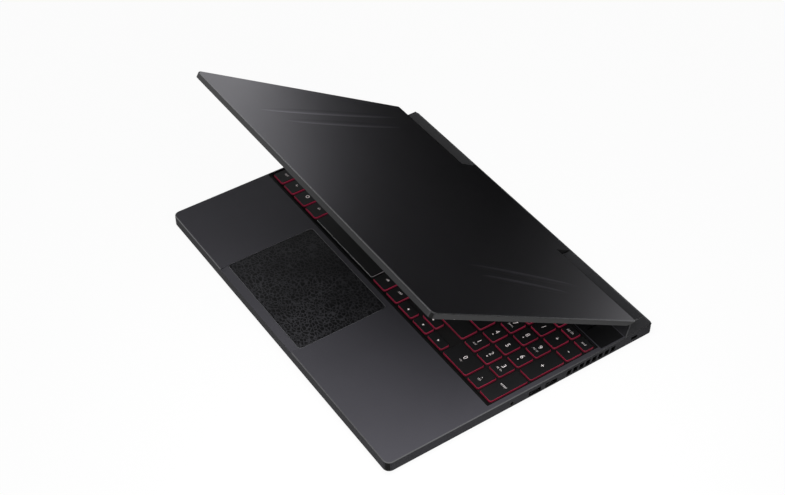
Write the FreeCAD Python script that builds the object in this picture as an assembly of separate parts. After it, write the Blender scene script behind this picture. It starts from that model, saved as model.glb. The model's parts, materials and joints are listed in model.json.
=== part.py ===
import FreeCAD, Part
import math
import os

# Laptop computer with a lid that turns on a central rear hinge. All sizes are in millimetres.
# +X is the user's right, +Y is the rear and +Z is up.
# The origin is the middle of the footprint, at the height of the table.

# Keyboard grid
KEY_PITCH = 18.7
MAIN_BLOCK_KEYS = 15
ROW_PITCH = 19.4
LETTER_ROWS = 4
BOTTOM_ROW_DEPTH = 22.6
FUNCTION_ROW_DEPTH = 12.8
FUNCTION_KEYS = 16
NUMPAD_PITCH = 17.5
NUMPAD_COLUMNS = 4
BLOCK_GAP = 0.6
KEY_GAP = 1.8
ARROW_GAP = 0.6
WELL_MARGIN = 0.6

# Wide keys, in key pitches
TAB_UNITS = 1.5
CAPS_UNITS = 1.75
SHIFT_UNITS = 2.25
MODIFIER_UNITS = 1.0
WIDE_MODIFIER_UNITS = 1.1
ARROW_UNITS = 1.2

# Key caps, the posts that carry them and the sheets below
KEY_TOP_DROP = 0.2
CAP_HEIGHT = 1.8
CAP_TAPER = 0.5
KEY_TRAVEL = 1.2
TRAVEL_SPARE = 0.15
POST_SIZE = 4.0
POST_TAPER = 0.1
POST_CLEARANCE = 0.3
KEYBOARD_PLATE = 0.4
PLATE_RIB = 1.0
PLATE_FLANGE = 1.2
PLATE_CLEARANCE = 0.1
BACKLIGHT_SHEET = 0.25

# Base case
SIDE_RIM_LEFT = 2.2
SIDE_RIM_RIGHT = 5.5
PALM_REST = 105.4
PANEL_GAP = 1.6
PANEL_DEPTH = 25.0
RAMP_GAP = 0.8
REAR_ZONE = 31.0
FOOT_HEIGHT = 2.0
BASE_THICKNESS = 16.0
WALL_HEIGHT = 10.5
WALL = 1.5
DECK = 1.4
FLOOR = 1.2
BEVEL_RUN = 7.0
FRONT_CORNER = 6.0
REAR_CORNER = 4.0
EDGE_CHAMFER = 0.7
FIT_CLEARANCE = 0.15
SCOOP_FALL = 0.9
SCOOP_GAP = 0.6

# Rear panel and power button
PANEL_THICKNESS = 0.8
PANEL_RIM = 2.0
PANEL_SLOTS = 8
PANEL_SLOT_PITCH = 6.0
PANEL_SLOT_WIDTH = 2.0
PANEL_SLOT_LENGTH = 15.0
BUTTON_WIDTH = 16.0
BUTTON_DEPTH = 8.0
BUTTON_CLEARANCE = 0.3
BUTTON_DROP = 0.1
BUTTON_LIP = 1.5
BUTTON_FLANGE = 0.8

# Touchpad
TOUCHPAD_WIDTH = 123.0
TOUCHPAD_CENTRE_X = -27.5
TOUCHPAD_FRONT_MARGIN = 8.6
TOUCHPAD_REAR_MARGIN = 8.6
TOUCHPAD_THICKNESS = 1.3
TOUCHPAD_DROP = 0.15
TOUCHPAD_CORNER = 2.5
TOUCHPAD_CLEARANCE = 0.4
TOUCHPAD_CLICK = 0.62
CLICK_SPARE = 0.35
BRACKET_FLANGE = 4.0
BRACKET_PLATE = 0.8
BRACKET_RIB = 2.0
RIB_CLEARANCE = 0.1

# Rear cover, whose two humps stand either side of the hinge barrel
HUMP_RISE = 6.4
RAMP_RUN = 11.0
HUMP_BACK = 1.4
COVER_REAR_INSET = 1.3
COVER_WALL = 0.8
HUMP_END_INSET = 0.6
HUMP_END_SLOPE = 6.5
REAR_LEDGE = 3.0
REAR_SILL = 3.4
CHANNEL_FLOOR = 1.2
CHANNEL_CLEARANCE = 0.6

# Hinge
HINGE_SETBACK = 7.6
BARREL_RADIUS = 3.5
BARREL_SKIN = 1.2
TONGUE_WIDTH = 144.0
TONGUE_GAP = 1.2
TONGUE_TAPER_RUN = 7.0
SHAFT_RADIUS = 1.5
SHAFT_CLEARANCE = 0.05
SHAFT_HOLE_CLEARANCE = 0.6
SHAFT_SPARE = 2.0
KNUCKLE_RADIUS = 2.4
KNUCKLE_LENGTH = 16.0
KNUCKLE_GAP = 1.6
BRACKET_WEB = 2.2
BRACKET_FOOT_LENGTH = 10.0
BRACKET_FOOT = 1.2
LEAF_WIDTH = 20.0
LEAF_THICKNESS = 1.2
LEAF_FRONT_GAP = 3.7
LEAF_END_GAP = 2.0
LEAF_CLEARANCE = 0.2
OPEN_ANGLE = 31.7

# Lid
LID_THICKNESS = 5.3
LID_GAP = 0.6
LID_OVERHANG = 1.2
LID_HINGE_REACH = 18.6
LID_CORNER = 4.0
LID_REAR_CORNER = 2.0
LID_SKIN = 1.2
LID_WALL = 1.6
LID_BEVEL_RUN = 8.6
LID_REAR_LIP = 1.0
LID_REAR_WALL = 1.7
BEZEL_THICKNESS = 1.2
BEZEL_CLEARANCE = 0.2
BEZEL_SIDE = 7.7
BEZEL_TOP = 9.5
BEZEL_CHIN = 17.8
SCREEN_LAP = 2.0
SCREEN_BACK_GAP = 0.4
WEBCAM_RADIUS = 1.5
WEBCAM_RECESS = 0.15
WEBCAM_BOARD_WIDTH = 20.0
WEBCAM_BOARD_DEPTH = 3.0
WEBCAM_BOARD = 1.0
BUMPER_LENGTH = 14.0
BUMPER_WIDTH = 2.4
BUMPER_HEIGHT = 0.5
BUMPER_OFFSETS = [60.0, 150.0]
TRIM_THICKNESS = 0.8
TRIM_FRONT_GAP = 1.0
TRIM_END_MARGIN = 2.5
GROOVE_DEPTH = 0.25
GROOVE_WIDTH = 9.0
GROOVE_LENGTHWAYS = 6
GROOVE_CROSSWAYS = 6
GROOVE_OVERRUN = 1.1
GROOVE_CUTTER_RISE = 0.5
GROOVE_LINES = [((-154.0, 231.0), (-121.0, 31.0)), ((-133.0, 221.0), (-107.0, 52.0)),
                ((132.0, 224.0), (109.0, 99.0)), ((144.0, 201.0), (124.0, 102.0))]

# Openings in the case walls
PORT_TOP_DROP = 4.1
PORT_HEIGHT = 5.3
PORT_SHELL = 0.35
PORT_LENGTH = 12.0
PORT_TONGUE = 1.6
PORT_TONGUE_GAP = 1.2
PORT_BOARD_WIDTH = 18.0
PORT_BOARD_MARGIN = 3.0
RIGHT_PORTS_FRONT = 121.5
JACK_WIDTH = 6.0
JACK_RADIUS = 1.8
JACK_BORE_LENGTH = 10.0
JACK_TO_USB = 14.4
USB_WIDTH = 13.4
USB_TO_USB = 4.0
LEFT_PORTS_MARGIN = 8.2
POWER_WIDTH = 11.6
POWER_TO_VIDEO = 10.5
VIDEO_WIDTH = 15.4
VIDEO_TO_USB = 5.6
SIDE_VENTS = 8
SIDE_VENT_GAP = 9.3
SIDE_VENT_PITCH = 6.9
SIDE_VENT_WIDTH = 4.6
SIDE_VENT_HEIGHT = 5.2
VENT_TOP_DROP = 3.2
VENT_LEAN = 1.2
LOCK_SLOT_SETBACK = 21.0
LOCK_SLOT_WIDTH = 6.5
LOCK_SLOT_HEIGHT = 3.0
LOCK_SLOT_DROP = 4.0
REAR_VENTS = 10
REAR_VENT_PITCH = 6.4
REAR_VENT_WIDTH = 4.4

# Parts inside the base
INNER_GAP = 0.5
BOARD = 1.0
BOARD_SIDE_GAP = 2.5
BOARD_GAP = 4.0
PORT_BOARD_GAP = 10.0
FRONT_LANE = 11.0
MIDDLE_LANE = 24.0
FAN_LANE = 12.0
CHIP_HEIGHT = 1.0
CHIP_SIZE = 34.0
CHIP_CENTRE_X = 30.0
CHIP_SETBACK = 8.0
COLD_PLATE = 1.6
COLD_PLATE_MARGIN = 5.0
PIPE_WIDTH = 6.0
PIPE_HEIGHT = 2.0
PIPE_BEND = 12.0
PIPE_LANE = 16.5
PIPE_START_X = 6.0
PIPE_END_MARGIN = 8.0
FAN_WIDTH = 68.0
FAN_DEPTH = 66.0
FAN_HEIGHT = 8.0
FAN_SHEET = 0.8
FAN_WALL = 2.0
FAN_SIDES = 24
FAN_INTAKE_MARGIN = 9.0
FAN_BLADES = 11
BLADE_LENGTH = 19.5
BLADE_ROOT = 0.9
BLADE_THICKNESS = 0.9
BLADE_LEAN = 32.0
HUB_RADIUS = 10.0
HUB_CLEARANCE = 0.5
FAN_PIN_RADIUS = 1.5
FAN_PIN_CLEARANCE = 0.05
RADIATOR_GAP = 0.5
RADIATOR_DEPTH = 16.0
RADIATOR_SIDE_DEPTH = 5.5
RADIATOR_INSET = 4.0
FIN_PITCH = 5.5
FIN = 0.8
FIN_SPINE = 0.8
BATTERY_MARGIN = 5.0
BATTERY_DEPTH = 72.0
BATTERY_HEIGHT = 7.0
BATTERY_CELLS = 4
CELL_GROOVE = 0.8
SPEAKER_MARGIN = 4.5
SPEAKER_WIDTH = 42.0
SPEAKER_DEPTH = 50.0
SPEAKER_HEIGHT = 6.0
SPEAKER_CORNER = 5.0
MODULE_MARGIN = 5.0
SSD_WIDTH = 80.0
SSD_DEPTH = 22.0
SSD_HEIGHT = 2.4
SSD_MARGIN = 10.0
MEMORY_WIDTH = 69.6
MEMORY_DEPTH = 30.0
MEMORY_HEIGHT = 1.4
MEMORY_GAP = 4.0
MEMORY_RIGHT = -4.0
WIRELESS_WIDTH = 22.0
WIRELESS_DEPTH = 30.0
WIRELESS_HEIGHT = 2.2
WIRELESS_MARGIN = 36.0
BOSS_RADIUS = 3.0
BOSS_SPARE = 4.0
POST_SIDES = 8

# Underside
INTAKE_SLOTS = 8
INTAKE_PITCH = 6.0
INTAKE_WIDTH = 2.6
INTAKE_LENGTH = 46.0
FOOT_WIDTH = 9.0
FOOT_TAPER = 0.6
FOOT_CORNER = 2.4
FRONT_FOOT_LENGTH = 54.0
FRONT_FOOT_MARGIN = 18.0
FRONT_FOOT_SETBACK = 24.0
REAR_FOOT_MARGIN = 23.0
REAR_FOOT_SETBACK = 19.5
SCREW_HEAD_RADIUS = 2.2
SCREW_HEAD = 1.0
SCREW_SHANK_RADIUS = 1.0
SCREW_CLEARANCE = 0.2
SCREW_BOSS_HEIGHT = 2.8
SCREW_SIDE_MARGIN = 23.0
SCREW_REAR_SETBACK = 42.0

# Overall sizes that follow from the ones above
MAIN_BLOCK_WIDTH = MAIN_BLOCK_KEYS * KEY_PITCH
NUMPAD_WIDTH = NUMPAD_COLUMNS * NUMPAD_PITCH
WELL_WIDTH = MAIN_BLOCK_WIDTH + BLOCK_GAP + NUMPAD_WIDTH + 2 * WELL_MARGIN
WELL_DEPTH = BOTTOM_ROW_DEPTH + LETTER_ROWS * ROW_PITCH + FUNCTION_ROW_DEPTH + 2 * WELL_MARGIN
WIDTH = SIDE_RIM_LEFT + WELL_WIDTH + SIDE_RIM_RIGHT
DEPTH = PALM_REST + WELL_DEPTH + PANEL_GAP + PANEL_DEPTH + RAMP_GAP + REAR_ZONE
HALF = WIDTH / 2
FRONT = -DEPTH / 2

# Heights that follow
UNDERSIDE_Z = FOOT_HEIGHT
FLOOR_Z = UNDERSIDE_Z + FLOOR
DECK_Z = UNDERSIDE_Z + BASE_THICKNESS
WALL_FOOT_Z = DECK_Z - WALL_HEIGHT
DECK_UNDERSIDE_Z = DECK_Z - DECK
CAP_TOP_Z = DECK_Z - KEY_TOP_DROP
CAP_BOTTOM_Z = CAP_TOP_Z - CAP_HEIGHT
PLATE_TOP_Z = CAP_BOTTOM_Z - KEY_TRAVEL - TRAVEL_SPARE
PLATE_BOTTOM_Z = PLATE_TOP_Z - KEYBOARD_PLATE
PORT_TOP_Z = DECK_Z - PORT_TOP_DROP
PORT_BOTTOM_Z = PORT_TOP_Z - PORT_HEIGHT
PORT_MIDDLE_Z = PORT_TOP_Z - PORT_HEIGHT / 2
BOARD_TOP_Z = PORT_BOTTOM_Z
BOARD_BOTTOM_Z = BOARD_TOP_Z - BOARD
CHIP_TOP_Z = BOARD_TOP_Z + CHIP_HEIGHT
COLD_PLATE_TOP_Z = CHIP_TOP_Z + COLD_PLATE
LID_INNER_Z = DECK_Z + LID_GAP
LID_OUTER_Z = LID_INNER_Z + LID_THICKNESS
HINGE_Z = LID_OUTER_Z - BARREL_RADIUS
SKIN_Z = LID_OUTER_Z - LID_SKIN
HUMP_Z = DECK_Z + HUMP_RISE

V = FreeCAD.Vector


def from_front(distance):
    """Y of a point that lies this far behind the front edge."""
    return FRONT + distance


# Places along the depth that follow
WELL_FRONT_Y = from_front(PALM_REST)
WELL_REAR_Y = WELL_FRONT_Y + WELL_DEPTH
WELL_LEFT_X = -HALF + SIDE_RIM_LEFT
WELL_RIGHT_X = WELL_LEFT_X + WELL_WIDTH
PANEL_FRONT_Y = WELL_REAR_Y + PANEL_GAP
PANEL_REAR_Y = PANEL_FRONT_Y + PANEL_DEPTH
RAMP_FOOT_Y = PANEL_REAR_Y + RAMP_GAP
REAR_Y = -FRONT
HINGE_Y = REAR_Y - HINGE_SETBACK
LID_REAR_Y = HINGE_Y - LID_HINGE_REACH
LID_FREE_Y = FRONT - LID_OVERHANG
LID_CAVITY_REAR_Y = LID_REAR_Y - LID_BEVEL_RUN - LID_REAR_WALL
SCREEN_FRONT_Y = LID_FREE_Y + BEZEL_TOP
SCREEN_REAR_Y = LID_CAVITY_REAR_Y - BEZEL_CHIN
SCREEN_THICKNESS = LID_THICKNESS - LID_SKIN - BEZEL_THICKNESS - SCREEN_BACK_GAP
LEAF_FRONT_Y = SCREEN_REAR_Y + SCREEN_LAP + LEAF_FRONT_GAP
BUTTON_Y = (PANEL_FRONT_Y + PANEL_REAR_Y) / 2
HUMP_INNER_X = TONGUE_WIDTH / 2 + TONGUE_GAP
OPENING_REAR_Y = REAR_Y - REAR_SILL
BRACKET_FOOT_FRONT_Y = HINGE_Y + BRACKET_WEB / 2 - BRACKET_FOOT_LENGTH

# Places inside the base that follow, inwards from the walls of the pan
PAN_INSET = BEVEL_RUN * (WALL_FOOT_Z - FLOOR_Z) / (WALL_FOOT_Z - UNDERSIDE_Z) + WALL
PAN_HALF = HALF - PAN_INSET - INNER_GAP
SIDE_RADIATOR_X = PAN_HALF - RADIATOR_SIDE_DEPTH
FAN_OUTER_X = SIDE_RADIATOR_X - RADIATOR_GAP
FAN_INNER_X = FAN_OUTER_X - FAN_WIDTH
RADIATOR_REAR_Y = REAR_Y - PAN_INSET - INNER_GAP
RADIATOR_FRONT_Y = RADIATOR_REAR_Y - RADIATOR_DEPTH
FAN_REAR_Y = RADIATOR_FRONT_Y - RADIATOR_GAP
FAN_FRONT_Y = FAN_REAR_Y - FAN_DEPTH
FAN_CAVITY_RADIUS = min(FAN_WIDTH, FAN_DEPTH) / 2 - FAN_WALL
BATTERY_FRONT_Y = FRONT + PAN_INSET + BATTERY_MARGIN
BATTERY_REAR_Y = BATTERY_FRONT_Y + BATTERY_DEPTH
SPEAKER_OUTER_X = PAN_HALF - SPEAKER_MARGIN
SPEAKER_INNER_X = SPEAKER_OUTER_X - SPEAKER_WIDTH
BATTERY_HALF = SPEAKER_INNER_X - FRONT_LANE
BOARD_FRONT_Y = BATTERY_REAR_Y + MIDDLE_LANE
BOARD_STEP_Y = FAN_FRONT_Y - BOARD_GAP
BOARD_REAR_Y = BRACKET_FOOT_FRONT_Y - BOARD_GAP
BOARD_NECK = FAN_INNER_X - FAN_LANE
BOARD_OUTER_X = HALF - WALL - BOARD_SIDE_GAP
PORT_BOARD_INNER_X = BOARD_OUTER_X - PORT_BOARD_WIDTH
BOARD_RIGHT = PORT_BOARD_INNER_X - PORT_BOARD_GAP
CHIP_CENTRE_Y = BOARD_STEP_Y - CHIP_SETBACK
PIPE_RUN_X = BOARD_NECK - PIPE_LANE

# Sockets, from the front of each row to the rear
JACK_Y = from_front(RIGHT_PORTS_FRONT) + JACK_WIDTH / 2
USB_RIGHT_FRONT_Y = JACK_Y + JACK_WIDTH / 2 + JACK_TO_USB + USB_WIDTH / 2
USB_RIGHT_REAR_Y = USB_RIGHT_FRONT_Y + USB_WIDTH + USB_TO_USB
POWER_Y = BOARD_FRONT_Y + LEFT_PORTS_MARGIN + POWER_WIDTH / 2
VIDEO_Y = POWER_Y + POWER_WIDTH / 2 + POWER_TO_VIDEO + VIDEO_WIDTH / 2
USB_LEFT_Y = VIDEO_Y + VIDEO_WIDTH / 2 + VIDEO_TO_USB + USB_WIDTH / 2
SIDE_VENT_FRONT_Y = USB_RIGHT_REAR_Y + USB_WIDTH / 2 + SIDE_VENT_GAP


def box(x, y, z):
    """Block between three (low, high) pairs."""
    return Part.makeBox(x[1] - x[0], y[1] - y[0], z[1] - z[0], V(x[0], y[0], z[0]))


def span(centre, size):
    """Low and high ends of a size about its centre."""
    return (centre - size / 2, centre + size / 2)


def on_side(side, near, far):
    """Low and high x of a stretch given by its distances from the middle, on one side."""
    return tuple(sorted((side * near, side * far)))


def upright(x, y, z, radius):
    """Round post along Z between two heights."""
    return Part.makeCylinder(radius, z[1] - z[0], V(x, y, z[0]))


def many_sided(x, y, z, radius, sides):
    """Upright post with flat sides between two heights."""
    turns = [2 * math.pi * (index + 0.5) / sides for index in range(sides)]
    return in_plan([(x + radius * math.cos(turn), y + radius * math.sin(turn)) for turn in turns], z)


def along_x(outline, x):
    """Solid whose section is the closed (y, z) outline, between two x values."""
    wire = Part.makePolygon([V(x[0], y, z) for y, z in outline + outline[:1]])
    return Part.Face(wire).extrude(V(x[1] - x[0], 0, 0))


def in_plan(outline, z):
    """Plate whose outline is the closed list of (x, y) points, between two heights."""
    wire = Part.makePolygon([V(x, y, z[0]) for x, y in outline + outline[:1]])
    return Part.Face(wire).extrude(V(0, 0, z[1] - z[0]))


def round_corner(corner, arriving, leaving, radius):
    """Start, middle and end of the arc that rounds a corner between two unit directions."""
    start = corner - arriving * radius
    end = corner + leaving * radius
    centre = start + leaving * radius
    middle = centre + (arriving - leaving) * (radius / math.sqrt(2))
    return start, middle, end


def rounded_outline(x, y, z, front_radius, rear_radius):
    """Closed rectangle in plan at one height, with rounded front and rear corners."""
    right, rear = V(1, 0, 0), V(0, 1, 0)
    corners = [
        (V(x[1], y[0], z), right, rear, front_radius),
        (V(x[1], y[1], z), rear, -right, rear_radius),
        (V(x[0], y[1], z), -right, -rear, rear_radius),
        (V(x[0], y[0], z), -rear, right, front_radius),
    ]
    arcs = [round_corner(*corner) for corner in corners]
    edges = []
    for index, (start, middle, end) in enumerate(arcs):
        previous_end = arcs[index - 1][2]
        edges.append(Part.LineSegment(previous_end, start).toShape())
        edges.append(Part.Arc(start, middle, end).toShape())
    return Part.Wire(edges)


def rounded_plate(x, y, z, front_radius, rear_radius):
    """Plate with rounded corners in plan, between two heights."""
    outline = rounded_outline(x, y, z[0], front_radius, rear_radius)
    return Part.Face(outline).extrude(V(0, 0, z[1] - z[0]))


def chamfered_top(solid, size, height):
    """The solid with every edge that lies at one height chamfered."""
    edges = [edge for edge in solid.Edges if abs(edge.BoundBox.ZMin - height) < size / 10
             and abs(edge.BoundBox.ZMax - height) < size / 10]
    return solid.makeChamfer(size, edges)


def fused(solids):
    """One solid from several that meet."""
    return solids[0].multiFuse(solids[1:]).removeSplitter()


def opened(solid, cuts):
    """The solid with every cut taken out of it."""
    return solid.cut(Part.makeCompound(cuts))


def both_sides(make):
    """The shapes that a function makes for the left and the right side."""
    return [make(side) for side in (-1, 1)]


def lifted(solid):
    """A lid solid turned from its closed place to the open rest position."""
    turned = solid.copy()
    turned.rotate(V(0, HINGE_Y, HINGE_Z), V(-1, 0, 0), OPEN_ANGLE)
    return turned


# Keyboard


def row_front(row):
    """Front of a row of cells: 0 is the bottom row, the last is the function row."""
    above_bottom = 0 if row == 0 else BOTTOM_ROW_DEPTH + (row - 1) * ROW_PITCH
    return WELL_FRONT_Y + WELL_MARGIN + above_bottom


def row_span(row, rows=1):
    """Front and rear of one row of cells, or of a key that takes several rows."""
    last = row + rows - 1
    if last == 0:
        return row_front(row), row_front(row) + BOTTOM_ROW_DEPTH
    if last == LETTER_ROWS + 1:
        return row_front(row), row_front(last) + FUNCTION_ROW_DEPTH
    return row_front(row), row_front(last) + ROW_PITCH


def main_row(keys, row, left, right):
    """Cells of (group, width in pitches) from left to right. The key with no width takes what is left."""
    taken = sum(width for group, width in keys if width) * KEY_PITCH
    spare = right - left - taken
    cells = []
    for group, width in keys:
        reach = left + (width * KEY_PITCH if width else spare)
        cells.append((group, (left, reach), row_span(row)))
        left = reach
    return cells


def arrow_cells(left, right):
    """Four arrow keys of half a row's depth, with the upper one behind the lower one."""
    front, rear = row_span(0)
    middle = (front + rear) / 2
    low = (front, middle + KEY_GAP / 2 - ARROW_GAP / 2)
    high = (middle - KEY_GAP / 2 + ARROW_GAP / 2, rear)
    step = (right - left) / 3
    columns = [(left + index * step, left + (index + 1) * step) for index in range(3)]
    return [("arrow_keys", column, low) for column in columns] + [("arrow_keys", columns[1], high)]


def numpad_cells(left):
    """The number pad: single keys, a wide zero and two tall keys in the last column."""
    def column(first, columns=1):
        return left + first * NUMPAD_PITCH, left + (first + columns) * NUMPAD_PITCH
    last = NUMPAD_COLUMNS - 1
    group = "number_pad_keys"
    cells = [(group, column(0, last - 1), row_span(0)), (group, column(last - 1), row_span(0))]
    for row in range(1, LETTER_ROWS):
        cells += [(group, column(index), row_span(row)) for index in range(last)]
    cells += [(group, column(index), row_span(LETTER_ROWS)) for index in range(NUMPAD_COLUMNS)]
    cells += [(group, column(last), row_span(0, 2)), (group, column(last), row_span(2, 2))]
    function = row_span(LETTER_ROWS + 1)
    cells += [("function_row_keys", column(index), function) for index in range(NUMPAD_COLUMNS)]
    return cells


def key_cells():
    """Every key of the keyboard as (group, x span, y span)."""
    left = WELL_LEFT_X + WELL_MARGIN
    right = left + MAIN_BLOCK_WIDTH
    arrows = right - 3 * ARROW_UNITS * KEY_PITCH
    modifier = ("modifier_keys", MODIFIER_UNITS)
    wide_modifier = ("modifier_keys", WIDE_MODIFIER_UNITS)
    bottom = [modifier, modifier, wide_modifier, wide_modifier, ("space_bar", None), wide_modifier, modifier]
    letters = MAIN_BLOCK_KEYS - 3
    lower = [("left_shift_key", SHIFT_UNITS)] + [("lower_letter_keys", 1)] * (letters - 2)
    home = [("home_letter_keys", CAPS_UNITS)] + [("home_letter_keys", 1)] * (letters - 1)
    upper = [("upper_letter_keys", TAB_UNITS)] + [("upper_letter_keys", 1)] * letters
    numbers = [("number_row_keys", 1)] * (letters + 1)
    cells = main_row(bottom, 0, left, arrows)
    cells += arrow_cells(arrows, right)
    cells += main_row(lower + [("right_shift_key", None)], 1, left, right)
    cells += main_row(home + [("enter_key", None)], 2, left, right)
    cells += main_row(upper + [("upper_letter_keys", None)], 3, left, right)
    cells += main_row(numbers + [("number_row_keys", None)], LETTER_ROWS, left, right)
    step = MAIN_BLOCK_WIDTH / FUNCTION_KEYS
    function = row_span(LETTER_ROWS + 1)
    cells += [("function_row_keys", (left + index * step, left + (index + 1) * step), function)
              for index in range(FUNCTION_KEYS)]
    return cells + numpad_cells(right + BLOCK_GAP)


def cut_corner_outline(x, y, z, cut):
    """Rectangle in plan with its corners cut off."""
    points = [(x[0] + cut, y[0]), (x[1] - cut, y[0]), (x[1], y[0] + cut), (x[1], y[1] - cut),
              (x[1] - cut, y[1]), (x[0] + cut, y[1]), (x[0], y[1] - cut), (x[0], y[0] + cut)]
    return Part.makePolygon([V(px, py, z) for px, py in points + points[:1]])


def square_outline(x, y, z):
    """Rectangle in plan between two (low, high) pairs."""
    points = [(x[0], y[0]), (x[1], y[0]), (x[1], y[1]), (x[0], y[1])]
    return Part.makePolygon([V(px, py, z) for px, py in points + points[:1]])


def key_cap(x, y):
    """Tapered cap over one cell, hollow below where its post enters."""
    x = (x[0] + KEY_GAP / 2, x[1] - KEY_GAP / 2)
    y = (y[0] + KEY_GAP / 2, y[1] - KEY_GAP / 2)
    top_x = (x[0] + CAP_TAPER, x[1] - CAP_TAPER)
    top_y = (y[0] + CAP_TAPER, y[1] - CAP_TAPER)
    low = square_outline(x, y, CAP_BOTTOM_Z)
    high = square_outline(top_x, top_y, CAP_TOP_Z)
    cap = Part.makeLoft([low, high], True, True)
    pocket = POST_SIZE + 2 * (POST_TAPER + POST_CLEARANCE)
    pocket_top = CAP_BOTTOM_Z + KEY_TRAVEL + TRAVEL_SPARE
    middle_x, middle_y = sum(x) / 2, sum(y) / 2
    return cap.cut(box(span(middle_x, pocket), span(middle_y, pocket), (CAP_BOTTOM_Z, pocket_top)))


def key_post(x, y):
    """Tapered post that stands on the plate and reaches the mouth of the cap's pocket."""
    middle_x, middle_y = sum(x) / 2, sum(y) / 2
    foot = POST_SIZE + 2 * POST_TAPER
    low = square_outline(span(middle_x, foot), span(middle_y, foot), PLATE_TOP_Z)
    high = square_outline(span(middle_x, POST_SIZE), span(middle_y, POST_SIZE), CAP_BOTTOM_Z)
    return Part.makeLoft([low, high], True, True)


def keyboard():
    """The key groups and the posts they run on."""
    groups = {}
    posts = []
    for group, x, y in key_cells():
        groups.setdefault(group, []).append(key_cap(x, y))
        posts.append(key_post(x, y))
    nodes = {group: Part.makeCompound(caps) for group, caps in groups.items()}
    nodes["key_posts"] = Part.makeCompound(posts)
    return nodes


def keyboard_plate():
    """Sheet under the keys, hung from the deck by a rib along its front and rear."""
    x = (WELL_LEFT_X + PLATE_CLEARANCE, WELL_RIGHT_X - PLATE_CLEARANCE)
    front, rear = WELL_FRONT_Y - PLATE_FLANGE, WELL_REAR_Y + PLATE_FLANGE
    sheet = box(x, (front, rear), (PLATE_BOTTOM_Z, PLATE_TOP_Z))
    ribs = [box(x, (front, front + PLATE_RIB), (PLATE_BOTTOM_Z, DECK_UNDERSIDE_Z)),
            box(x, (rear - PLATE_RIB, rear), (PLATE_BOTTOM_Z, DECK_UNDERSIDE_Z))]
    return fused([sheet] + ribs)


def keyboard_backlight():
    """Light sheet against the underside of the keyboard plate."""
    x = (WELL_LEFT_X + PLATE_CLEARANCE, WELL_RIGHT_X - PLATE_CLEARANCE)
    z = (PLATE_BOTTOM_Z - BACKLIGHT_SHEET, PLATE_BOTTOM_Z)
    return box(x, (WELL_FRONT_Y, WELL_REAR_Y), z)


# Base case


def bottom_inset(z):
    """How far the bevelled sides stand in from the full outline at a height."""
    return BEVEL_RUN * (WALL_FOOT_Z - z) / (WALL_FOOT_Z - UNDERSIDE_Z)


def base_outline(z, inset):
    """Outline of the base in plan, drawn in by an inset."""
    x = (-HALF + inset, HALF - inset)
    y = (FRONT + inset, REAR_Y - inset)
    front_radius = max(FRONT_CORNER - inset, EDGE_CHAMFER)
    rear_radius = max(REAR_CORNER - inset, EDGE_CHAMFER)
    return rounded_outline(x, y, z, front_radius, rear_radius)


def touchpad_span():
    """X and Y spans of the touchpad."""
    y = (from_front(TOUCHPAD_FRONT_MARGIN), WELL_FRONT_Y - TOUCHPAD_REAR_MARGIN)
    return span(TOUCHPAD_CENTRE_X, TOUCHPAD_WIDTH), y


def grown(pair, size):
    """A span with both ends moved out."""
    return pair[0] - size, pair[1] + size


def right_ports():
    """Sockets of the right wall: the middle and the width of each."""
    return [(JACK_Y, JACK_WIDTH), (USB_RIGHT_FRONT_Y, USB_WIDTH), (USB_RIGHT_REAR_Y, USB_WIDTH)]


def left_ports():
    """Sockets of the left wall: the middle and the width of each."""
    return [(POWER_Y, POWER_WIDTH), (VIDEO_Y, VIDEO_WIDTH), (USB_LEFT_Y, USB_WIDTH)]


def wall_span(side):
    """X span that passes right through a side wall."""
    return on_side(side, HALF - 2 * WALL, HALF + WALL)


def side_vent(side, index):
    """One leaning slot of a side wall's row of vents."""
    y = SIDE_VENT_FRONT_Y + index * SIDE_VENT_PITCH
    top = DECK_Z - VENT_TOP_DROP
    bottom = top - SIDE_VENT_HEIGHT
    outline = [(y, bottom), (y + SIDE_VENT_WIDTH, bottom),
               (y + SIDE_VENT_WIDTH + VENT_LEAN, top), (y + VENT_LEAN, top)]
    return along_x(outline, wall_span(side))


def side_cuts(side):
    """Every opening through one side wall."""
    cuts = [side_vent(side, index) for index in range(SIDE_VENTS)]
    ports = right_ports() if side > 0 else left_ports()
    for place, width in ports:
        z = (PORT_BOTTOM_Z + PORT_SHELL, PORT_TOP_Z - PORT_SHELL)
        cuts.append(box(wall_span(side), span(place, width - 2 * PORT_SHELL), z))
    return cuts


def lock_slot():
    """Slot in the right wall for a security cable."""
    top = DECK_Z - LOCK_SLOT_DROP
    y = span(REAR_Y - LOCK_SLOT_SETBACK, LOCK_SLOT_WIDTH)
    return box(wall_span(1), y, (top - LOCK_SLOT_HEIGHT, top))


def rear_vents(side):
    """Exhaust slots of the rear wall on one side, behind that side's radiator."""
    top = DECK_Z - VENT_TOP_DROP
    slots = []
    for index in range(REAR_VENTS):
        near = FAN_INNER_X + index * REAR_VENT_PITCH
        x = on_side(side, near, near + REAR_VENT_WIDTH)
        slots.append(box(x, (REAR_Y - 2 * WALL, REAR_Y + WALL), (top - SIDE_VENT_HEIGHT, top)))
    return slots


def rear_openings():
    """Openings in the deck under the humps and under the hinge barrel."""
    z = (DECK_UNDERSIDE_Z - WALL, DECK_Z + WALL)
    hump_y = (RAMP_FOOT_Y + REAR_LEDGE, OPENING_REAR_Y)
    humps = both_sides(lambda side: box(on_side(side, TONGUE_WIDTH / 2, HALF - REAR_LEDGE), hump_y, z))
    middle = box(span(0, TONGUE_WIDTH), (channel_front_y() - FIT_CLEARANCE, OPENING_REAR_Y), z)
    return humps + [middle]


def channel_front_y():
    """Front of the channel under the hinge barrel."""
    return HINGE_Y - 2 * BARREL_RADIUS + CHANNEL_CLEARANCE


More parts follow.
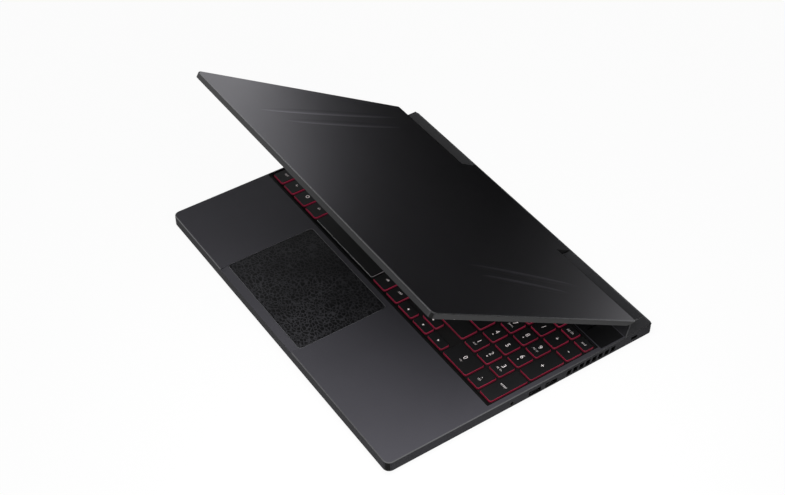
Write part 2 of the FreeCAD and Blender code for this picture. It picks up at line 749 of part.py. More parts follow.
def finger_scoop():
    """Wedge off the front edge before the touchpad, where a finger lifts the lid."""
    pad_x, pad_y = touchpad_span()
    rear = pad_y[0] - TOUCHPAD_CLEARANCE - SCOOP_GAP
    return along_x([(FRONT, DECK_Z - SCOOP_FALL), (rear, DECK_Z), (FRONT, DECK_Z)], pad_x)


def top_case():
    """Deck with its four walls, one piece, open below."""
    outer = Part.Face(base_outline(WALL_FOOT_Z, 0)).extrude(V(0, 0, WALL_HEIGHT))
    outer = chamfered_top(outer, EDGE_CHAMFER, DECK_Z)
    inside = Part.Face(base_outline(WALL_FOOT_Z, WALL)).extrude(V(0, 0, WALL_HEIGHT - DECK))
    through = (DECK_UNDERSIDE_Z - WALL, DECK_Z + WALL)
    pad_x, pad_y = touchpad_span()
    pad_x, pad_y = grown(pad_x, TOUCHPAD_CLEARANCE), grown(pad_y, TOUCHPAD_CLEARANCE)
    corner = TOUCHPAD_CORNER + TOUCHPAD_CLEARANCE
    panel_x = on_side(1, -HALF + PANEL_RIM, HALF - PANEL_RIM)
    cuts = [
        box((WELL_LEFT_X, WELL_RIGHT_X), (WELL_FRONT_Y, WELL_REAR_Y), through),
        rounded_plate(pad_x, pad_y, through, corner, corner),
        box(panel_x, (PANEL_FRONT_Y, PANEL_REAR_Y), (DECK_Z - PANEL_THICKNESS, DECK_Z + WALL)),
        button_opening(through),
        lock_slot(),
        finger_scoop(),
    ]
    cuts += rear_openings() + side_cuts(-1) + side_cuts(1) + rear_vents(-1) + rear_vents(1)
    return opened(outer.cut(inside), cuts)


def screw_places():
    """X and Y of each screw of the underside, in the lanes between the parts inside."""
    rows = [
        ((SPEAKER_INNER_X + BATTERY_HALF) / 2, BATTERY_FRONT_Y + BOSS_RADIUS),
        (HALF - BEVEL_RUN - SCREW_SIDE_MARGIN, (BATTERY_REAR_Y + BOARD_FRONT_Y) / 2),
        ((FAN_INNER_X + BOARD_NECK) / 2, REAR_Y - SCREW_REAR_SETBACK),
    ]
    return [(side * x, y) for x, y in rows for side in (-1, 1)]


def board_boss_places():
    """X and Y of the bosses that carry the main board."""
    front = BOARD_FRONT_Y + BOSS_SPARE
    rear = BOARD_REAR_Y - BOSS_SPARE
    left = -BOARD_OUTER_X + BEVEL_RUN + BOSS_SPARE
    neck = BOARD_NECK - BOSS_SPARE
    return [(left, front), (BOARD_RIGHT - BOSS_SPARE, front), (-neck, rear), (neck, rear)]


def port_board_span():
    """X and Y spans of the small board behind the right wall's sockets."""
    y = (right_ports()[0][0] - JACK_WIDTH / 2, right_ports()[-1][0] + USB_WIDTH / 2)
    return (PORT_BOARD_INNER_X, BOARD_OUTER_X), grown(y, PORT_BOARD_MARGIN)


def port_boss_places():
    """X and Y of the bosses under the port board."""
    x, y = port_board_span()
    return [(x[0] + BOSS_SPARE, end) for end in grown(y, -BOSS_SPARE)]


def bracket_foot_span(side):
    """X and Y spans of the foot of a hinge bracket."""
    near = HUMP_INNER_X + KNUCKLE_GAP
    y = (BRACKET_FOOT_FRONT_Y, BRACKET_FOOT_FRONT_Y + BRACKET_FOOT_LENGTH)
    return on_side(side, near, near + KNUCKLE_LENGTH), y


def bracket_boss_place(side):
    """X and Y of the boss under a hinge bracket's foot."""
    x, y = bracket_foot_span(side)
    return sum(x) / 2, y[0] + BOSS_RADIUS


def fan_centre(side):
    """X and Y of a fan's axis."""
    return side * (FAN_INNER_X + FAN_WIDTH / 2), FAN_FRONT_Y + FAN_DEPTH / 2


def intake_slots(side):
    """Air slots of the underside, below one fan."""
    x, y = fan_centre(side)
    first = x - (INTAKE_SLOTS - 1) * INTAKE_PITCH / 2
    return [box(span(first + index * INTAKE_PITCH, INTAKE_WIDTH), span(y, INTAKE_LENGTH),
                (UNDERSIDE_Z - FLOOR, FLOOR_Z + FLOOR)) for index in range(INTAKE_SLOTS)]


def bottom_cover():
    """Pan with bevelled sides, air slots, screw seats and the bosses that carry the boards and hinges."""
    outer = Part.makeLoft([base_outline(UNDERSIDE_Z, BEVEL_RUN), base_outline(WALL_FOOT_Z, 0)], True, True)
    low, high = bottom_inset(FLOOR_Z) + WALL, WALL
    inside = Part.makeLoft([base_outline(FLOOR_Z, low), base_outline(WALL_FOOT_Z, high)], True, True)
    pan = outer.cut(inside)
    seat = FLOOR_Z + SCREW_BOSS_HEIGHT
    carriers = board_boss_places() + port_boss_places() + both_sides(bracket_boss_place)
    posts = [many_sided(x, y, (FLOOR_Z, BOARD_BOTTOM_Z), BOSS_RADIUS, POST_SIDES) for x, y in carriers]
    posts += [many_sided(x, y, (FLOOR_Z, seat), BOSS_RADIUS, POST_SIDES) for x, y in screw_places()]
    cuts = intake_slots(-1) + intake_slots(1)
    for x, y in screw_places():
        cuts.append(many_sided(x, y, (UNDERSIDE_Z, FLOOR_Z), SCREW_HEAD_RADIUS + SCREW_CLEARANCE, POST_SIDES))
        cuts.append(many_sided(x, y, (FLOOR_Z, seat), SCREW_SHANK_RADIUS + SCREW_CLEARANCE, POST_SIDES))
    return opened(fused([pan] + posts), cuts)


def bottom_screws():
    """Screws of the underside, each with its head against the seat."""
    screws = []
    for x, y in screw_places():
        head = many_sided(x, y, (FLOOR_Z - SCREW_HEAD, FLOOR_Z), SCREW_HEAD_RADIUS, POST_SIDES)
        shank = many_sided(x, y, (FLOOR_Z, FLOOR_Z + SCREW_BOSS_HEIGHT), SCREW_SHANK_RADIUS, POST_SIDES)
        screws.append(fused([head, shank]))
    return Part.makeCompound(screws)


def rubber_foot(x, y, length):
    """Long foot with cut corners that narrows towards the table."""
    def outline(z, inset):
        foot_x, foot_y = span(x, length - 2 * inset), span(y, FOOT_WIDTH - 2 * inset)
        return cut_corner_outline(foot_x, foot_y, z, FOOT_CORNER)
    return Part.makeLoft([outline(0, FOOT_TAPER), outline(FOOT_HEIGHT, 0)], True, True)


def rubber_feet():
    """Two short feet at the front and a long one at the rear."""
    flat_half = HALF - BEVEL_RUN
    front_x = flat_half - FRONT_FOOT_MARGIN - FRONT_FOOT_LENGTH / 2
    front_y = from_front(FRONT_FOOT_SETBACK)
    front = both_sides(lambda side: rubber_foot(side * front_x, front_y, FRONT_FOOT_LENGTH))
    rear = rubber_foot(0, REAR_Y - REAR_FOOT_SETBACK, 2 * (flat_half - REAR_FOOT_MARGIN))
    return Part.makeCompound(front + [rear])


def hump_outline(inset, floor_z):
    """Section of a hump, drawn in by a wall and carried down to a height."""
    ramp = math.atan2(HUMP_RISE, RAMP_RUN)
    rear_run = HINGE_SETBACK - HUMP_BACK - COVER_REAR_INSET
    fall = math.atan2(HUMP_RISE, rear_run)
    foot = RAMP_FOOT_Y + inset / math.sin(ramp)
    rear = REAR_Y - COVER_REAR_INSET - inset / math.sin(fall)
    rise = HUMP_RISE - inset
    top_front = foot + rise / math.tan(ramp)
    top_rear = rear - rise / math.tan(fall)
    upper = [(foot, DECK_Z), (top_front, DECK_Z + rise), (top_rear, DECK_Z + rise), (rear, DECK_Z)]
    return upper if floor_z >= DECK_Z else upper + [(rear, floor_z), (foot, floor_z)]


def hump_end_cut(side, inset):
    """Wedge that slopes the outer end of a hump."""
    foot = HALF - HUMP_END_INSET - inset
    outline = [(foot, DECK_Z), (foot + HUMP_RISE, DECK_Z), (foot + HUMP_RISE, HUMP_Z + WALL),
               (foot - HUMP_END_SLOPE * (HUMP_RISE + WALL) / HUMP_RISE, HUMP_Z + WALL)]
    wire = Part.makePolygon([V(side * x, RAMP_FOOT_Y, z) for x, z in outline + outline[:1]])
    return Part.Face(wire).extrude(V(0, REAR_ZONE, 0))


def hump(side):
    """Hollow raised cover on one side, open below, with a hole for the hinge shaft in its inner end."""
    outer_end = HALF - HUMP_END_INSET
    outer = along_x(hump_outline(0, DECK_Z), on_side(side, HUMP_INNER_X, outer_end))
    outer = outer.cut(hump_end_cut(side, 0))
    inner_x = on_side(side, HUMP_INNER_X + COVER_WALL, outer_end - COVER_WALL)
    inside = along_x(hump_outline(COVER_WALL, DECK_Z - WALL), inner_x).cut(hump_end_cut(side, COVER_WALL))
    hole = Part.makeCylinder(SHAFT_RADIUS + SHAFT_HOLE_CLEARANCE, 2 * (COVER_WALL + TONGUE_GAP),
                             V(side * (HUMP_INNER_X - TONGUE_GAP), HINGE_Y, HINGE_Z), V(side, 0, 0))
    return opened(outer, [inside, hole])


def rear_cover():
    """Two hollow humps joined by the channel that the hinge barrel turns in."""
    ends = HUMP_INNER_X + COVER_WALL
    floor_top = HINGE_Z - BARREL_RADIUS - CHANNEL_CLEARANCE
    y = (channel_front_y(), OPENING_REAR_Y - FIT_CLEARANCE)
    block = box((-ends, ends), y, (floor_top - CHANNEL_FLOOR, DECK_Z))
    groove = box((-HUMP_INNER_X, HUMP_INNER_X), grown(y, -COVER_WALL), (floor_top, DECK_Z))
    return fused([block.cut(groove)] + both_sides(hump))


def rear_deck_panel():
    """Dark inlay behind the keyboard, slotted above each fan, with the power button's recess."""
    x = (-HALF + PANEL_RIM + FIT_CLEARANCE, HALF - PANEL_RIM - FIT_CLEARANCE)
    y = (PANEL_FRONT_Y + FIT_CLEARANCE, PANEL_REAR_Y - FIT_CLEARANCE)
    z = (DECK_Z - PANEL_THICKNESS, DECK_Z)
    cuts = [button_opening(z)]
    for side in (-1, 1):
        first = fan_centre(side)[0] - (PANEL_SLOTS - 1) * PANEL_SLOT_PITCH / 2
        middles = [first + index * PANEL_SLOT_PITCH for index in range(PANEL_SLOTS)]
        length = span(BUTTON_Y, PANEL_SLOT_LENGTH)
        cuts += [box(span(middle, PANEL_SLOT_WIDTH), length, z) for middle in middles]
    return opened(box(x, y, z), cuts)


def button_opening(z):
    """Opening that the power button moves in, between two heights."""
    x, y = span(0, BUTTON_WIDTH), span(BUTTON_Y, BUTTON_DEPTH)
    return box(grown(x, BUTTON_CLEARANCE), grown(y, BUTTON_CLEARANCE), z)


def power_button():
    """Flat button in the rear panel, held up against the deck's underside by a flange."""
    x, y = span(0, BUTTON_WIDTH), span(BUTTON_Y, BUTTON_DEPTH)
    head = box(x, y, (DECK_UNDERSIDE_Z, DECK_Z - BUTTON_DROP))
    flange_z = (DECK_UNDERSIDE_Z - BUTTON_FLANGE, DECK_UNDERSIDE_Z)
    return fused([head, box(grown(x, BUTTON_LIP), grown(y, BUTTON_LIP), flange_z)])


def touchpad():
    """Touch plate in its opening, carried at its rear edge."""
    x, y = touchpad_span()
    top = DECK_Z - TOUCHPAD_DROP
    return rounded_plate(x, y, (top - TOUCHPAD_THICKNESS, top), TOUCHPAD_CORNER, TOUCHPAD_CORNER)


def touchpad_bracket():
    """Tray under the touchpad, with the rib that its rear edge rocks on."""
    x, y = touchpad_span()
    pad_bottom = DECK_Z - TOUCHPAD_DROP - TOUCHPAD_THICKNESS
    tray_top = pad_bottom - TOUCHPAD_CLICK - CLICK_SPARE
    tray_z = (tray_top - BRACKET_PLATE, DECK_UNDERSIDE_Z)
    tray = box(grown(x, BRACKET_FLANGE), grown(y, BRACKET_FLANGE), tray_z)
    pocket = box(grown(x, TOUCHPAD_CLEARANCE), grown(y, TOUCHPAD_CLEARANCE), (tray_top, DECK_UNDERSIDE_Z))
    rib = box(x, (y[1] - BRACKET_RIB, y[1]), (tray_top, pad_bottom - RIB_CLEARANCE))
    return fused([tray.cut(pocket), rib])


# Sockets


def socket_outer_x(side, length=PORT_LENGTH):
    """X span of a socket that ends against the inside of a side wall."""
    face = HALF - WALL
    return on_side(side, face - length, face)


def socket(side, place, width):
    """Metal shell with a contact tongue, open towards the side wall."""
    y = span(place, width)
    shell = box(socket_outer_x(side), y, (PORT_BOTTOM_Z, PORT_TOP_Z))
    mouth_x = on_side(side, HALF - WALL - PORT_LENGTH + PORT_SHELL, HALF - WALL)
    mouth = box(mouth_x, grown(y, -PORT_SHELL), (PORT_BOTTOM_Z + PORT_SHELL, PORT_TOP_Z - PORT_SHELL))
    tongue_x = on_side(side, HALF - WALL - PORT_LENGTH, HALF - WALL - PORT_TONGUE_GAP)
    tongue_y = grown(y, -PORT_SHELL - PORT_TONGUE_GAP)
    tongue = box(tongue_x, tongue_y, span(PORT_MIDDLE_Z, PORT_TONGUE))
    return fused([shell.cut(mouth), tongue])


def audio_jack():
    """Round-bored jack body behind the right wall, with a nose that fills the wall's opening."""
    y = span(JACK_Y, JACK_WIDTH)
    body = box(socket_outer_x(1), y, (PORT_BOTTOM_Z, PORT_TOP_Z))
    nose_y = grown(y, -PORT_SHELL - FIT_CLEARANCE)
    nose_z = (PORT_BOTTOM_Z + PORT_SHELL + FIT_CLEARANCE, PORT_TOP_Z - PORT_SHELL - FIT_CLEARANCE)
    nose = box((HALF - WALL, HALF), nose_y, nose_z)
    bore_end = V(HALF - JACK_BORE_LENGTH, JACK_Y, PORT_MIDDLE_Z)
    bore = Part.makeCylinder(JACK_RADIUS, JACK_BORE_LENGTH, bore_end, V(1, 0, 0))
    return fused([body, nose]).cut(bore)


def port_board():
    """Small board that carries the right wall's sockets."""
    x, y = port_board_span()
    return box(x, y, (BOARD_BOTTOM_Z, BOARD_TOP_Z))


# Inside the base


def mainboard():
    """Main board: a wide front part and a neck between the fans."""
    front, step, rear = BOARD_FRONT_Y, BOARD_STEP_Y, BOARD_REAR_Y
    outline = [(-BOARD_OUTER_X, front), (BOARD_RIGHT, front), (BOARD_RIGHT, step), (BOARD_NECK, step),
               (BOARD_NECK, rear), (-BOARD_NECK, rear), (-BOARD_NECK, step), (-BOARD_OUTER_X, step)]
    return in_plan(outline, (BOARD_BOTTOM_Z, BOARD_TOP_Z))


def processor_chips():
    """Two processor packages on the main board."""
    y = span(CHIP_CENTRE_Y, CHIP_SIZE)
    chips = both_sides(lambda side: box(span(side * CHIP_CENTRE_X, CHIP_SIZE), y, (BOARD_TOP_Z, CHIP_TOP_Z)))
    return Part.makeCompound(chips)


def cooling_plate():
    """Plate that lies on both processor packages."""
    half = CHIP_CENTRE_X + CHIP_SIZE / 2 + COLD_PLATE_MARGIN
    y = span(CHIP_CENTRE_Y, CHIP_SIZE + 2 * COLD_PLATE_MARGIN)
    return box((-half, half), y, (CHIP_TOP_Z, COLD_PLATE_TOP_Z))


def heat_pipe(side):
    """Flattened tube from the cooling plate, past the fan, to the far end of the radiator."""
    start = V(side * PIPE_START_X, CHIP_CENTRE_Y, COLD_PLATE_TOP_Z)
    first = V(side * PIPE_RUN_X, start.y, start.z)
    second = V(first.x, (RADIATOR_FRONT_Y + RADIATOR_REAR_Y) / 2, start.z)
    end = V(side * (FAN_OUTER_X - PIPE_END_MARGIN), second.y, start.z)
    outward, rear = V(side, 0, 0), V(0, 1, 0)
    bends = [round_corner(first, outward, rear, PIPE_BEND), round_corner(second, rear, outward, PIPE_BEND)]
    path = Part.Wire([
        Part.LineSegment(start, bends[0][0]).toShape(), Part.Arc(*bends[0]).toShape(),
        Part.LineSegment(bends[0][2], bends[1][0]).toShape(), Part.Arc(*bends[1]).toShape(),
        Part.LineSegment(bends[1][2], end).toShape()])
    across, up = V(0, PIPE_WIDTH / 2, 0), V(0, 0, PIPE_HEIGHT)
    corners = [start - across, start + across, start + across + up, start - across + up]
    section = Part.makePolygon(corners + corners[:1])
    return path.makePipeShell([section], True, True)


def fan_housing(side):
    """Flat blower case, open below the rotor and towards both radiators, with the rotor's pin."""
    x, y = fan_centre(side)
    z = (FLOOR_Z, FLOOR_Z + FAN_HEIGHT)
    inner_z = grown(z, -FAN_SHEET)
    case = box(span(x, FAN_WIDTH), span(y, FAN_DEPTH), z)
    cavity = many_sided(x, y, inner_z, FAN_CAVITY_RADIUS, FAN_SIDES)
    rear_mouth = box(span(x, 2 * FAN_CAVITY_RADIUS), (y, y + FAN_DEPTH), inner_z)
    side_mouth = box(on_side(side, abs(x), abs(x) + FAN_WIDTH), span(y, FAN_CAVITY_RADIUS), inner_z)
    intake = many_sided(x, y, (z[0], inner_z[0]), FAN_CAVITY_RADIUS - FAN_INTAKE_MARGIN, FAN_SIDES)
    pin = upright(x, y, (inner_z[0] + 2 * HUB_CLEARANCE, z[1]), FAN_PIN_RADIUS)
    return fused([opened(case, [cavity, rear_mouth, side_mouth, intake]), pin])


def fan_rotor(side):
    """Hub with leaning blades, bored from above for the pin of its housing."""
    x, y = fan_centre(side)
    z = grown((FLOOR_Z + FAN_SHEET, FLOOR_Z + FAN_HEIGHT - FAN_SHEET), -HUB_CLEARANCE)
    hub = many_sided(x, y, z, HUB_RADIUS, FAN_SIDES)
    blades = []
    for index in range(FAN_BLADES):
        blade = box((HUB_RADIUS - BLADE_ROOT, HUB_RADIUS + BLADE_LENGTH), span(0, BLADE_THICKNESS), z)
        blade.rotate(V(HUB_RADIUS, 0, 0), V(0, 0, 1), side * BLADE_LEAN)
        blade.rotate(V(0, 0, 0), V(0, 0, 1), index * 360 / FAN_BLADES)
        blade.translate(V(x, y, 0))
        blades.append(blade)
    bore = upright(x, y, (z[0] + HUB_CLEARANCE, z[1]), FAN_PIN_RADIUS + FAN_PIN_CLEARANCE)
    return fused([hub] + blades).cut(bore)


def fin_stack(x, y, z, along):
    """Block cut into upright fins on a thin spine at its top."""
    block = box(x, y, z)
    run = x if along == "x" else y
    count = int((run[1] - run[0] - FIN) // FIN_PITCH)
    pitch = (run[1] - run[0] - FIN) / count
    cuts = []
    for index in range(count):
        low = run[0] + index * pitch + FIN
        gap = (low, low + pitch - FIN)
        cut_z = (z[0], z[1] - FIN_SPINE)
        cuts.append(box(gap, y, cut_z) if along == "x" else box(x, gap, cut_z))
    return opened(block, cuts)


def radiator(side):
    """Rear and side fin stacks of one fan."""
    z = (FLOOR_Z, COLD_PLATE_TOP_Z)
    rear_x = on_side(side, FAN_INNER_X + RADIATOR_INSET, FAN_OUTER_X)
    rear = fin_stack(rear_x, (RADIATOR_FRONT_Y, RADIATOR_REAR_Y), z, "x")
    beside_x = on_side(side, SIDE_RADIATOR_X, SIDE_RADIATOR_X + RADIATOR_SIDE_DEPTH)
    beside = fin_stack(beside_x, (FAN_FRONT_Y, FAN_REAR_Y), z, "y")
    return Part.makeCompound([rear, beside])


def battery_pack():
    """Flat pack of cells in one wrap, grooved between the cells."""
    x, y = (-BATTERY_HALF, BATTERY_HALF), (BATTERY_FRONT_Y, BATTERY_REAR_Y)
    z = (FLOOR_Z, FLOOR_Z + BATTERY_HEIGHT)
    pitch = 2 * BATTERY_HALF / BATTERY_CELLS
    grooves = [box(span(x[0] + index * pitch, CELL_GROOVE), y, (z[1] - CELL_GROOVE, z[1]))
               for index in range(1, BATTERY_CELLS)]
    return opened(box(x, y, z), grooves)


def speaker(side):
    """Speaker box in a front corner."""
    x = on_side(side, SPEAKER_INNER_X, SPEAKER_OUTER_X)
    y = (BATTERY_FRONT_Y, BATTERY_FRONT_Y + SPEAKER_DEPTH)
    outline = cut_corner_outline(x, y, FLOOR_Z, SPEAKER_CORNER)
    return Part.Face(outline).extrude(V(0, 0, SPEAKER_HEIGHT))


def under_board(x, margin, width, depth, height):
    """Module that hangs from the underside of the main board, behind its front edge by a margin."""
    front = BOARD_FRONT_Y + margin
    return box((x, x + width), (front, front + depth), (BOARD_BOTTOM_Z - height, BOARD_BOTTOM_Z))


def memory_modules():
    """Two memory modules, one behind the other, under the main board."""
    margins = [MODULE_MARGIN + index * (MEMORY_DEPTH + MEMORY_GAP) for index in range(2)]
    left = MEMORY_RIGHT - MEMORY_WIDTH
    return Part.makeCompound([under_board(left, margin, MEMORY_WIDTH, MEMORY_DEPTH, MEMORY_HEIGHT)
                              for margin in margins])


def solid_state_drive():
    """Long storage module under the right of the main board."""
    left = BOARD_RIGHT - MODULE_MARGIN - SSD_WIDTH
    return under_board(left, SSD_MARGIN, SSD_WIDTH, SSD_DEPTH, SSD_HEIGHT)


def wireless_card():
    """Radio card under the left of the main board."""
    left = -BOARD_OUTER_X + WIRELESS_MARGIN
    return under_board(left, MODULE_MARGIN, WIRELESS_WIDTH, WIRELESS_DEPTH, WIRELESS_HEIGHT)


# Hinge


def hinge_bracket(side):
    """Steel knuckle on a web and foot, fixed in the base, that the lid's shaft turns in."""
    x, foot_y = bracket_foot_span(side)
    foot = box(x, foot_y, (BOARD_BOTTOM_Z, BOARD_BOTTOM_Z + BRACKET_FOOT))
    web = box(x, span(HINGE_Y, BRACKET_WEB), (BOARD_BOTTOM_Z, HINGE_Z))
    start = V(x[0], HINGE_Y, HINGE_Z)
    knuckle = Part.makeCylinder(KNUCKLE_RADIUS, KNUCKLE_LENGTH, start, V(1, 0, 0))
    bore = Part.makeCylinder(SHAFT_RADIUS + SHAFT_CLEARANCE, KNUCKLE_LENGTH, start, V(1, 0, 0))
    return fused([foot, web, knuckle]).cut(bore)


def leaf_span(side):
    """X span of the leaf of a hinge arm, inside the lid's tongue."""
    outer = TONGUE_WIDTH / 2 - LEAF_END_GAP
    return on_side(side, outer - LEAF_WIDTH, outer)


def hinge_arm(side):
    """Leaf under the lid's skin with the shaft that runs out into the base's knuckle."""
    x = leaf_span(side)
    leaf = box(x, (LEAF_FRONT_Y, HINGE_Y), (SKIN_Z - LEAF_THICKNESS, SKIN_Z))
    near = TONGUE_WIDTH / 2 - LEAF_END_GAP - LEAF_WIDTH
    far = HUMP_INNER_X + KNUCKLE_GAP + KNUCKLE_LENGTH + SHAFT_SPARE
    shaft = Part.makeCylinder(SHAFT_RADIUS, far - near, V(side * near, HINGE_Y, HINGE_Z), V(side, 0, 0))
    return lifted(fused([leaf, shaft]))


# Lid, drawn closed and then lifted


def lid_plan(inset, z):
    """Plate of the lid's outline drawn in by an inset, between two heights."""
    x = (-HALF + inset, HALF - inset)
    radius = max(LID_CORNER - inset, EDGE_CHAMFER)
    return rounded_plate(x, (LID_FREE_Y + inset, LID_REAR_Y), z, radius, LID_REAR_CORNER)


def on_barrel(angle):
    """Point of the barrel's surface at an angle from the rearward direction."""
    return V(0, HINGE_Y + BARREL_RADIUS * math.cos(angle), HINGE_Z + BARREL_RADIUS * math.sin(angle))


def tongue():
    """Middle of the lid's rear edge, carried back and rolled round the hinge axis."""
    foot = V(0, HINGE_Y - TONGUE_TAPER_RUN, LID_INNER_Z)
    reach = foot - V(0, HINGE_Y, HINGE_Z)
    top_angle = math.pi / 2
    low_angle = math.atan2(reach.z, reach.y) + math.acos(BARREL_RADIUS / reach.Length)
    top, low = on_barrel(top_angle), on_barrel(low_angle)
    front_top = V(0, LID_CAVITY_REAR_Y, LID_OUTER_Z)
    front_low = V(0, LID_CAVITY_REAR_Y, LID_INNER_Z)
    edges = [
        Part.LineSegment(front_top, top).toShape(),
        Part.Arc(top, on_barrel((top_angle + low_angle) / 2), low).toShape(),
        Part.LineSegment(low, foot).toShape(),
        Part.LineSegment(foot, front_low).toShape(),
        Part.LineSegment(front_low, front_top).toShape(),
    ]
    solid = Part.Face(Part.Wire(edges)).extrude(V(TONGUE_WIDTH, 0, 0))
    solid.translate(V(-TONGUE_WIDTH / 2, 0, 0))
    return solid


def arm_pocket(side):
    """Room for a hinge arm: a flat pocket for its leaf and a bore for its shaft."""
    x = grown(leaf_span(side), LEAF_CLEARANCE)
    pocket = box(x, (LEAF_FRONT_Y - LEAF_CLEARANCE, HINGE_Y), (LID_INNER_Z + TRIM_THICKNESS, SKIN_Z))
    near = TONGUE_WIDTH / 2 - LEAF_END_GAP - LEAF_WIDTH - LEAF_CLEARANCE
    bore = Part.makeCylinder(BARREL_RADIUS - BARREL_SKIN, LEAF_WIDTH + 2 * LEAF_END_GAP,
                             V(side * near, HINGE_Y, HINGE_Z), V(side, 0, 0))
    return [pocket, bore]


def trim_span():
    """Y span of the strip that closes the tongue from below."""
    return LID_CAVITY_REAR_Y + TRIM_FRONT_GAP, HINGE_Y - TONGUE_TAPER_RUN - TRIM_FRONT_GAP


def lid_groove(one_end, other_end):
    """Cutter for a long shallow hollow in the lid's face, between two places given as x and reach."""
    start, end = [V(x, LID_FREE_Y + reach, LID_OUTER_Z) for x, reach in (one_end, other_end)]
    along = (end - start) / 2
    aside = V(-along.y, along.x, 0).normalize() * (GROOVE_WIDTH / 2)

    def place(i, j, raised=False):
        """Point of the hollow's grid, or the point above it on the cutter's flat top."""
        far, wide = [GROOVE_OVERRUN * (2 * step / steps - 1)
                     for step, steps in ((i, GROOVE_LENGTHWAYS), (j, GROOVE_CROSSWAYS))]
        rise = GROOVE_CUTTER_RISE if raised else GROOVE_DEPTH * (far**2 + wide**2 - 1)
        return (start + end) / 2 + along * far + aside * wide + V(0, 0, rise)

    cells = [(i, j) for i in range(GROOVE_LENGTHWAYS) for j in range(GROOVE_CROSSWAYS)]
    outlines = []
    for i, j in cells:
        outlines.append([place(i, j), place(i + 1, j), place(i + 1, j + 1)])
        outlines.append([place(i, j), place(i + 1, j + 1), place(i, j + 1)])
    edge = [(i, 0) for i in range(GROOVE_LENGTHWAYS)]
    edge += [(GROOVE_LENGTHWAYS, j) for j in range(GROOVE_CROSSWAYS)]
    edge += [(i, GROOVE_CROSSWAYS) for i in range(GROOVE_LENGTHWAYS, 0, -1)]
    edge += [(0, j) for j in range(GROOVE_CROSSWAYS, 0, -1)]
    for one, other in zip(edge, edge[1:] + edge[:1]):
        outlines.append([place(*one), place(*other), place(*other, True), place(*one, True)])
    outlines.append([place(*step, True) for step in edge])
    shell = Part.makeShell([Part.Face(Part.makePolygon(points + points[:1])) for points in outlines])
    shell.sewShape()
    return Part.makeSolid(shell)


def lid_cover():
    """Outer shell of the lid with its bevelled rear edge and the tongue round the hinge axis."""
    plate = lid_plan(0, (LID_INNER_Z, LID_OUTER_Z))
    plate = chamfered_top(plate, EDGE_CHAMFER, LID_OUTER_Z)
    bevel = along_x([(LID_REAR_Y - LID_BEVEL_RUN, LID_INNER_Z), (LID_REAR_Y, LID_OUTER_Z - LID_REAR_LIP),
                     (LID_REAR_Y, LID_INNER_Z)], (-HALF, HALF))
    shell = fused([plate.cut(bevel), tongue()])
    cavity = rounded_plate((-HALF + LID_WALL, HALF - LID_WALL), (LID_FREE_Y + LID_WALL, LID_CAVITY_REAR_Y),
                           (LID_INNER_Z, SKIN_Z), LID_CORNER - LID_WALL, EDGE_CHAMFER)
    recess_x = span(0, TONGUE_WIDTH - 2 * TRIM_END_MARGIN)
    recess = box(recess_x, trim_span(), (LID_INNER_Z, LID_INNER_Z + TRIM_THICKNESS))
    grooves = [lid_groove(*line) for line in GROOVE_LINES]
    return lifted(opened(shell, [cavity, recess] + arm_pocket(-1) + arm_pocket(1) + grooves))


def hinge_trim():
    """Strip that closes the tongue's underside over the hinge arms."""
    x = span(0, TONGUE_WIDTH - 2 * TRIM_END_MARGIN - 2 * FIT_CLEARANCE)
    return lifted(box(x, grown(trim_span(), -FIT_CLEARANCE), (LID_INNER_Z, LID_INNER_Z + TRIM_THICKNESS)))


def screen_span():
    """X and Y spans of the visible screen."""
    return (-HALF + BEZEL_SIDE, HALF - BEZEL_SIDE), (SCREEN_FRONT_Y, SCREEN_REAR_Y)


def webcam_y():
    """Y of the camera in the bezel's upper border."""
    return (LID_FREE_Y + LID_WALL + SCREEN_FRONT_Y - SCREEN_LAP) / 2


def screen_bezel():
    """Frame round the screen, with the camera's hole."""
    inset = LID_WALL + BEZEL_CLEARANCE
    radius = LID_CORNER - inset
    z = (LID_INNER_Z, LID_INNER_Z + BEZEL_THICKNESS)
    y = (LID_FREE_Y + inset, LID_CAVITY_REAR_Y - BEZEL_CLEARANCE)
    frame = rounded_plate((-HALF + inset, HALF - inset), y, z, radius, EDGE_CHAMFER)
    screen_x, screen_y = screen_span()
    window = box(screen_x, screen_y, z)
    return lifted(opened(frame, [window, upright(0, webcam_y(), z, WEBCAM_RADIUS + BEZEL_CLEARANCE)]))


def display_panel():
    """Screen panel against the back of the bezel."""
    x, y = screen_span()
    low = LID_INNER_Z + BEZEL_THICKNESS
    return lifted(box(grown(x, SCREEN_LAP), grown(y, SCREEN_LAP), (low, low + SCREEN_THICKNESS)))


def webcam_module():
    """Camera lens in the bezel with its small board behind."""
    low = LID_INNER_Z + BEZEL_THICKNESS
    lens = upright(0, webcam_y(), (LID_INNER_Z + WEBCAM_RECESS, low), WEBCAM_RADIUS)
    board = box(span(0, WEBCAM_BOARD_WIDTH), span(webcam_y(), WEBCAM_BOARD_DEPTH), (low, low + WEBCAM_BOARD))
    return lifted(fused([lens, board]))


def lid_bumpers():
    """Rubber strips on the bezel that meet the deck when the lid is shut."""
    screen_y = screen_span()[1]
    rows = [webcam_y(), (screen_y[1] + LID_CAVITY_REAR_Y) / 2]
    z = (LID_INNER_Z - BUMPER_HEIGHT, LID_INNER_Z)
    places = [(side * x, y) for y in rows for x in BUMPER_OFFSETS for side in (-1, 1)]
    outlines = [cut_corner_outline(span(x, BUMPER_LENGTH), span(y, BUMPER_WIDTH), z[0], BUMPER_HEIGHT)
                for x, y in places]
    strips = [Part.Face(outline).extrude(V(0, 0, BUMPER_HEIGHT)) for outline in outlines]
    return lifted(Part.makeCompound(strips))


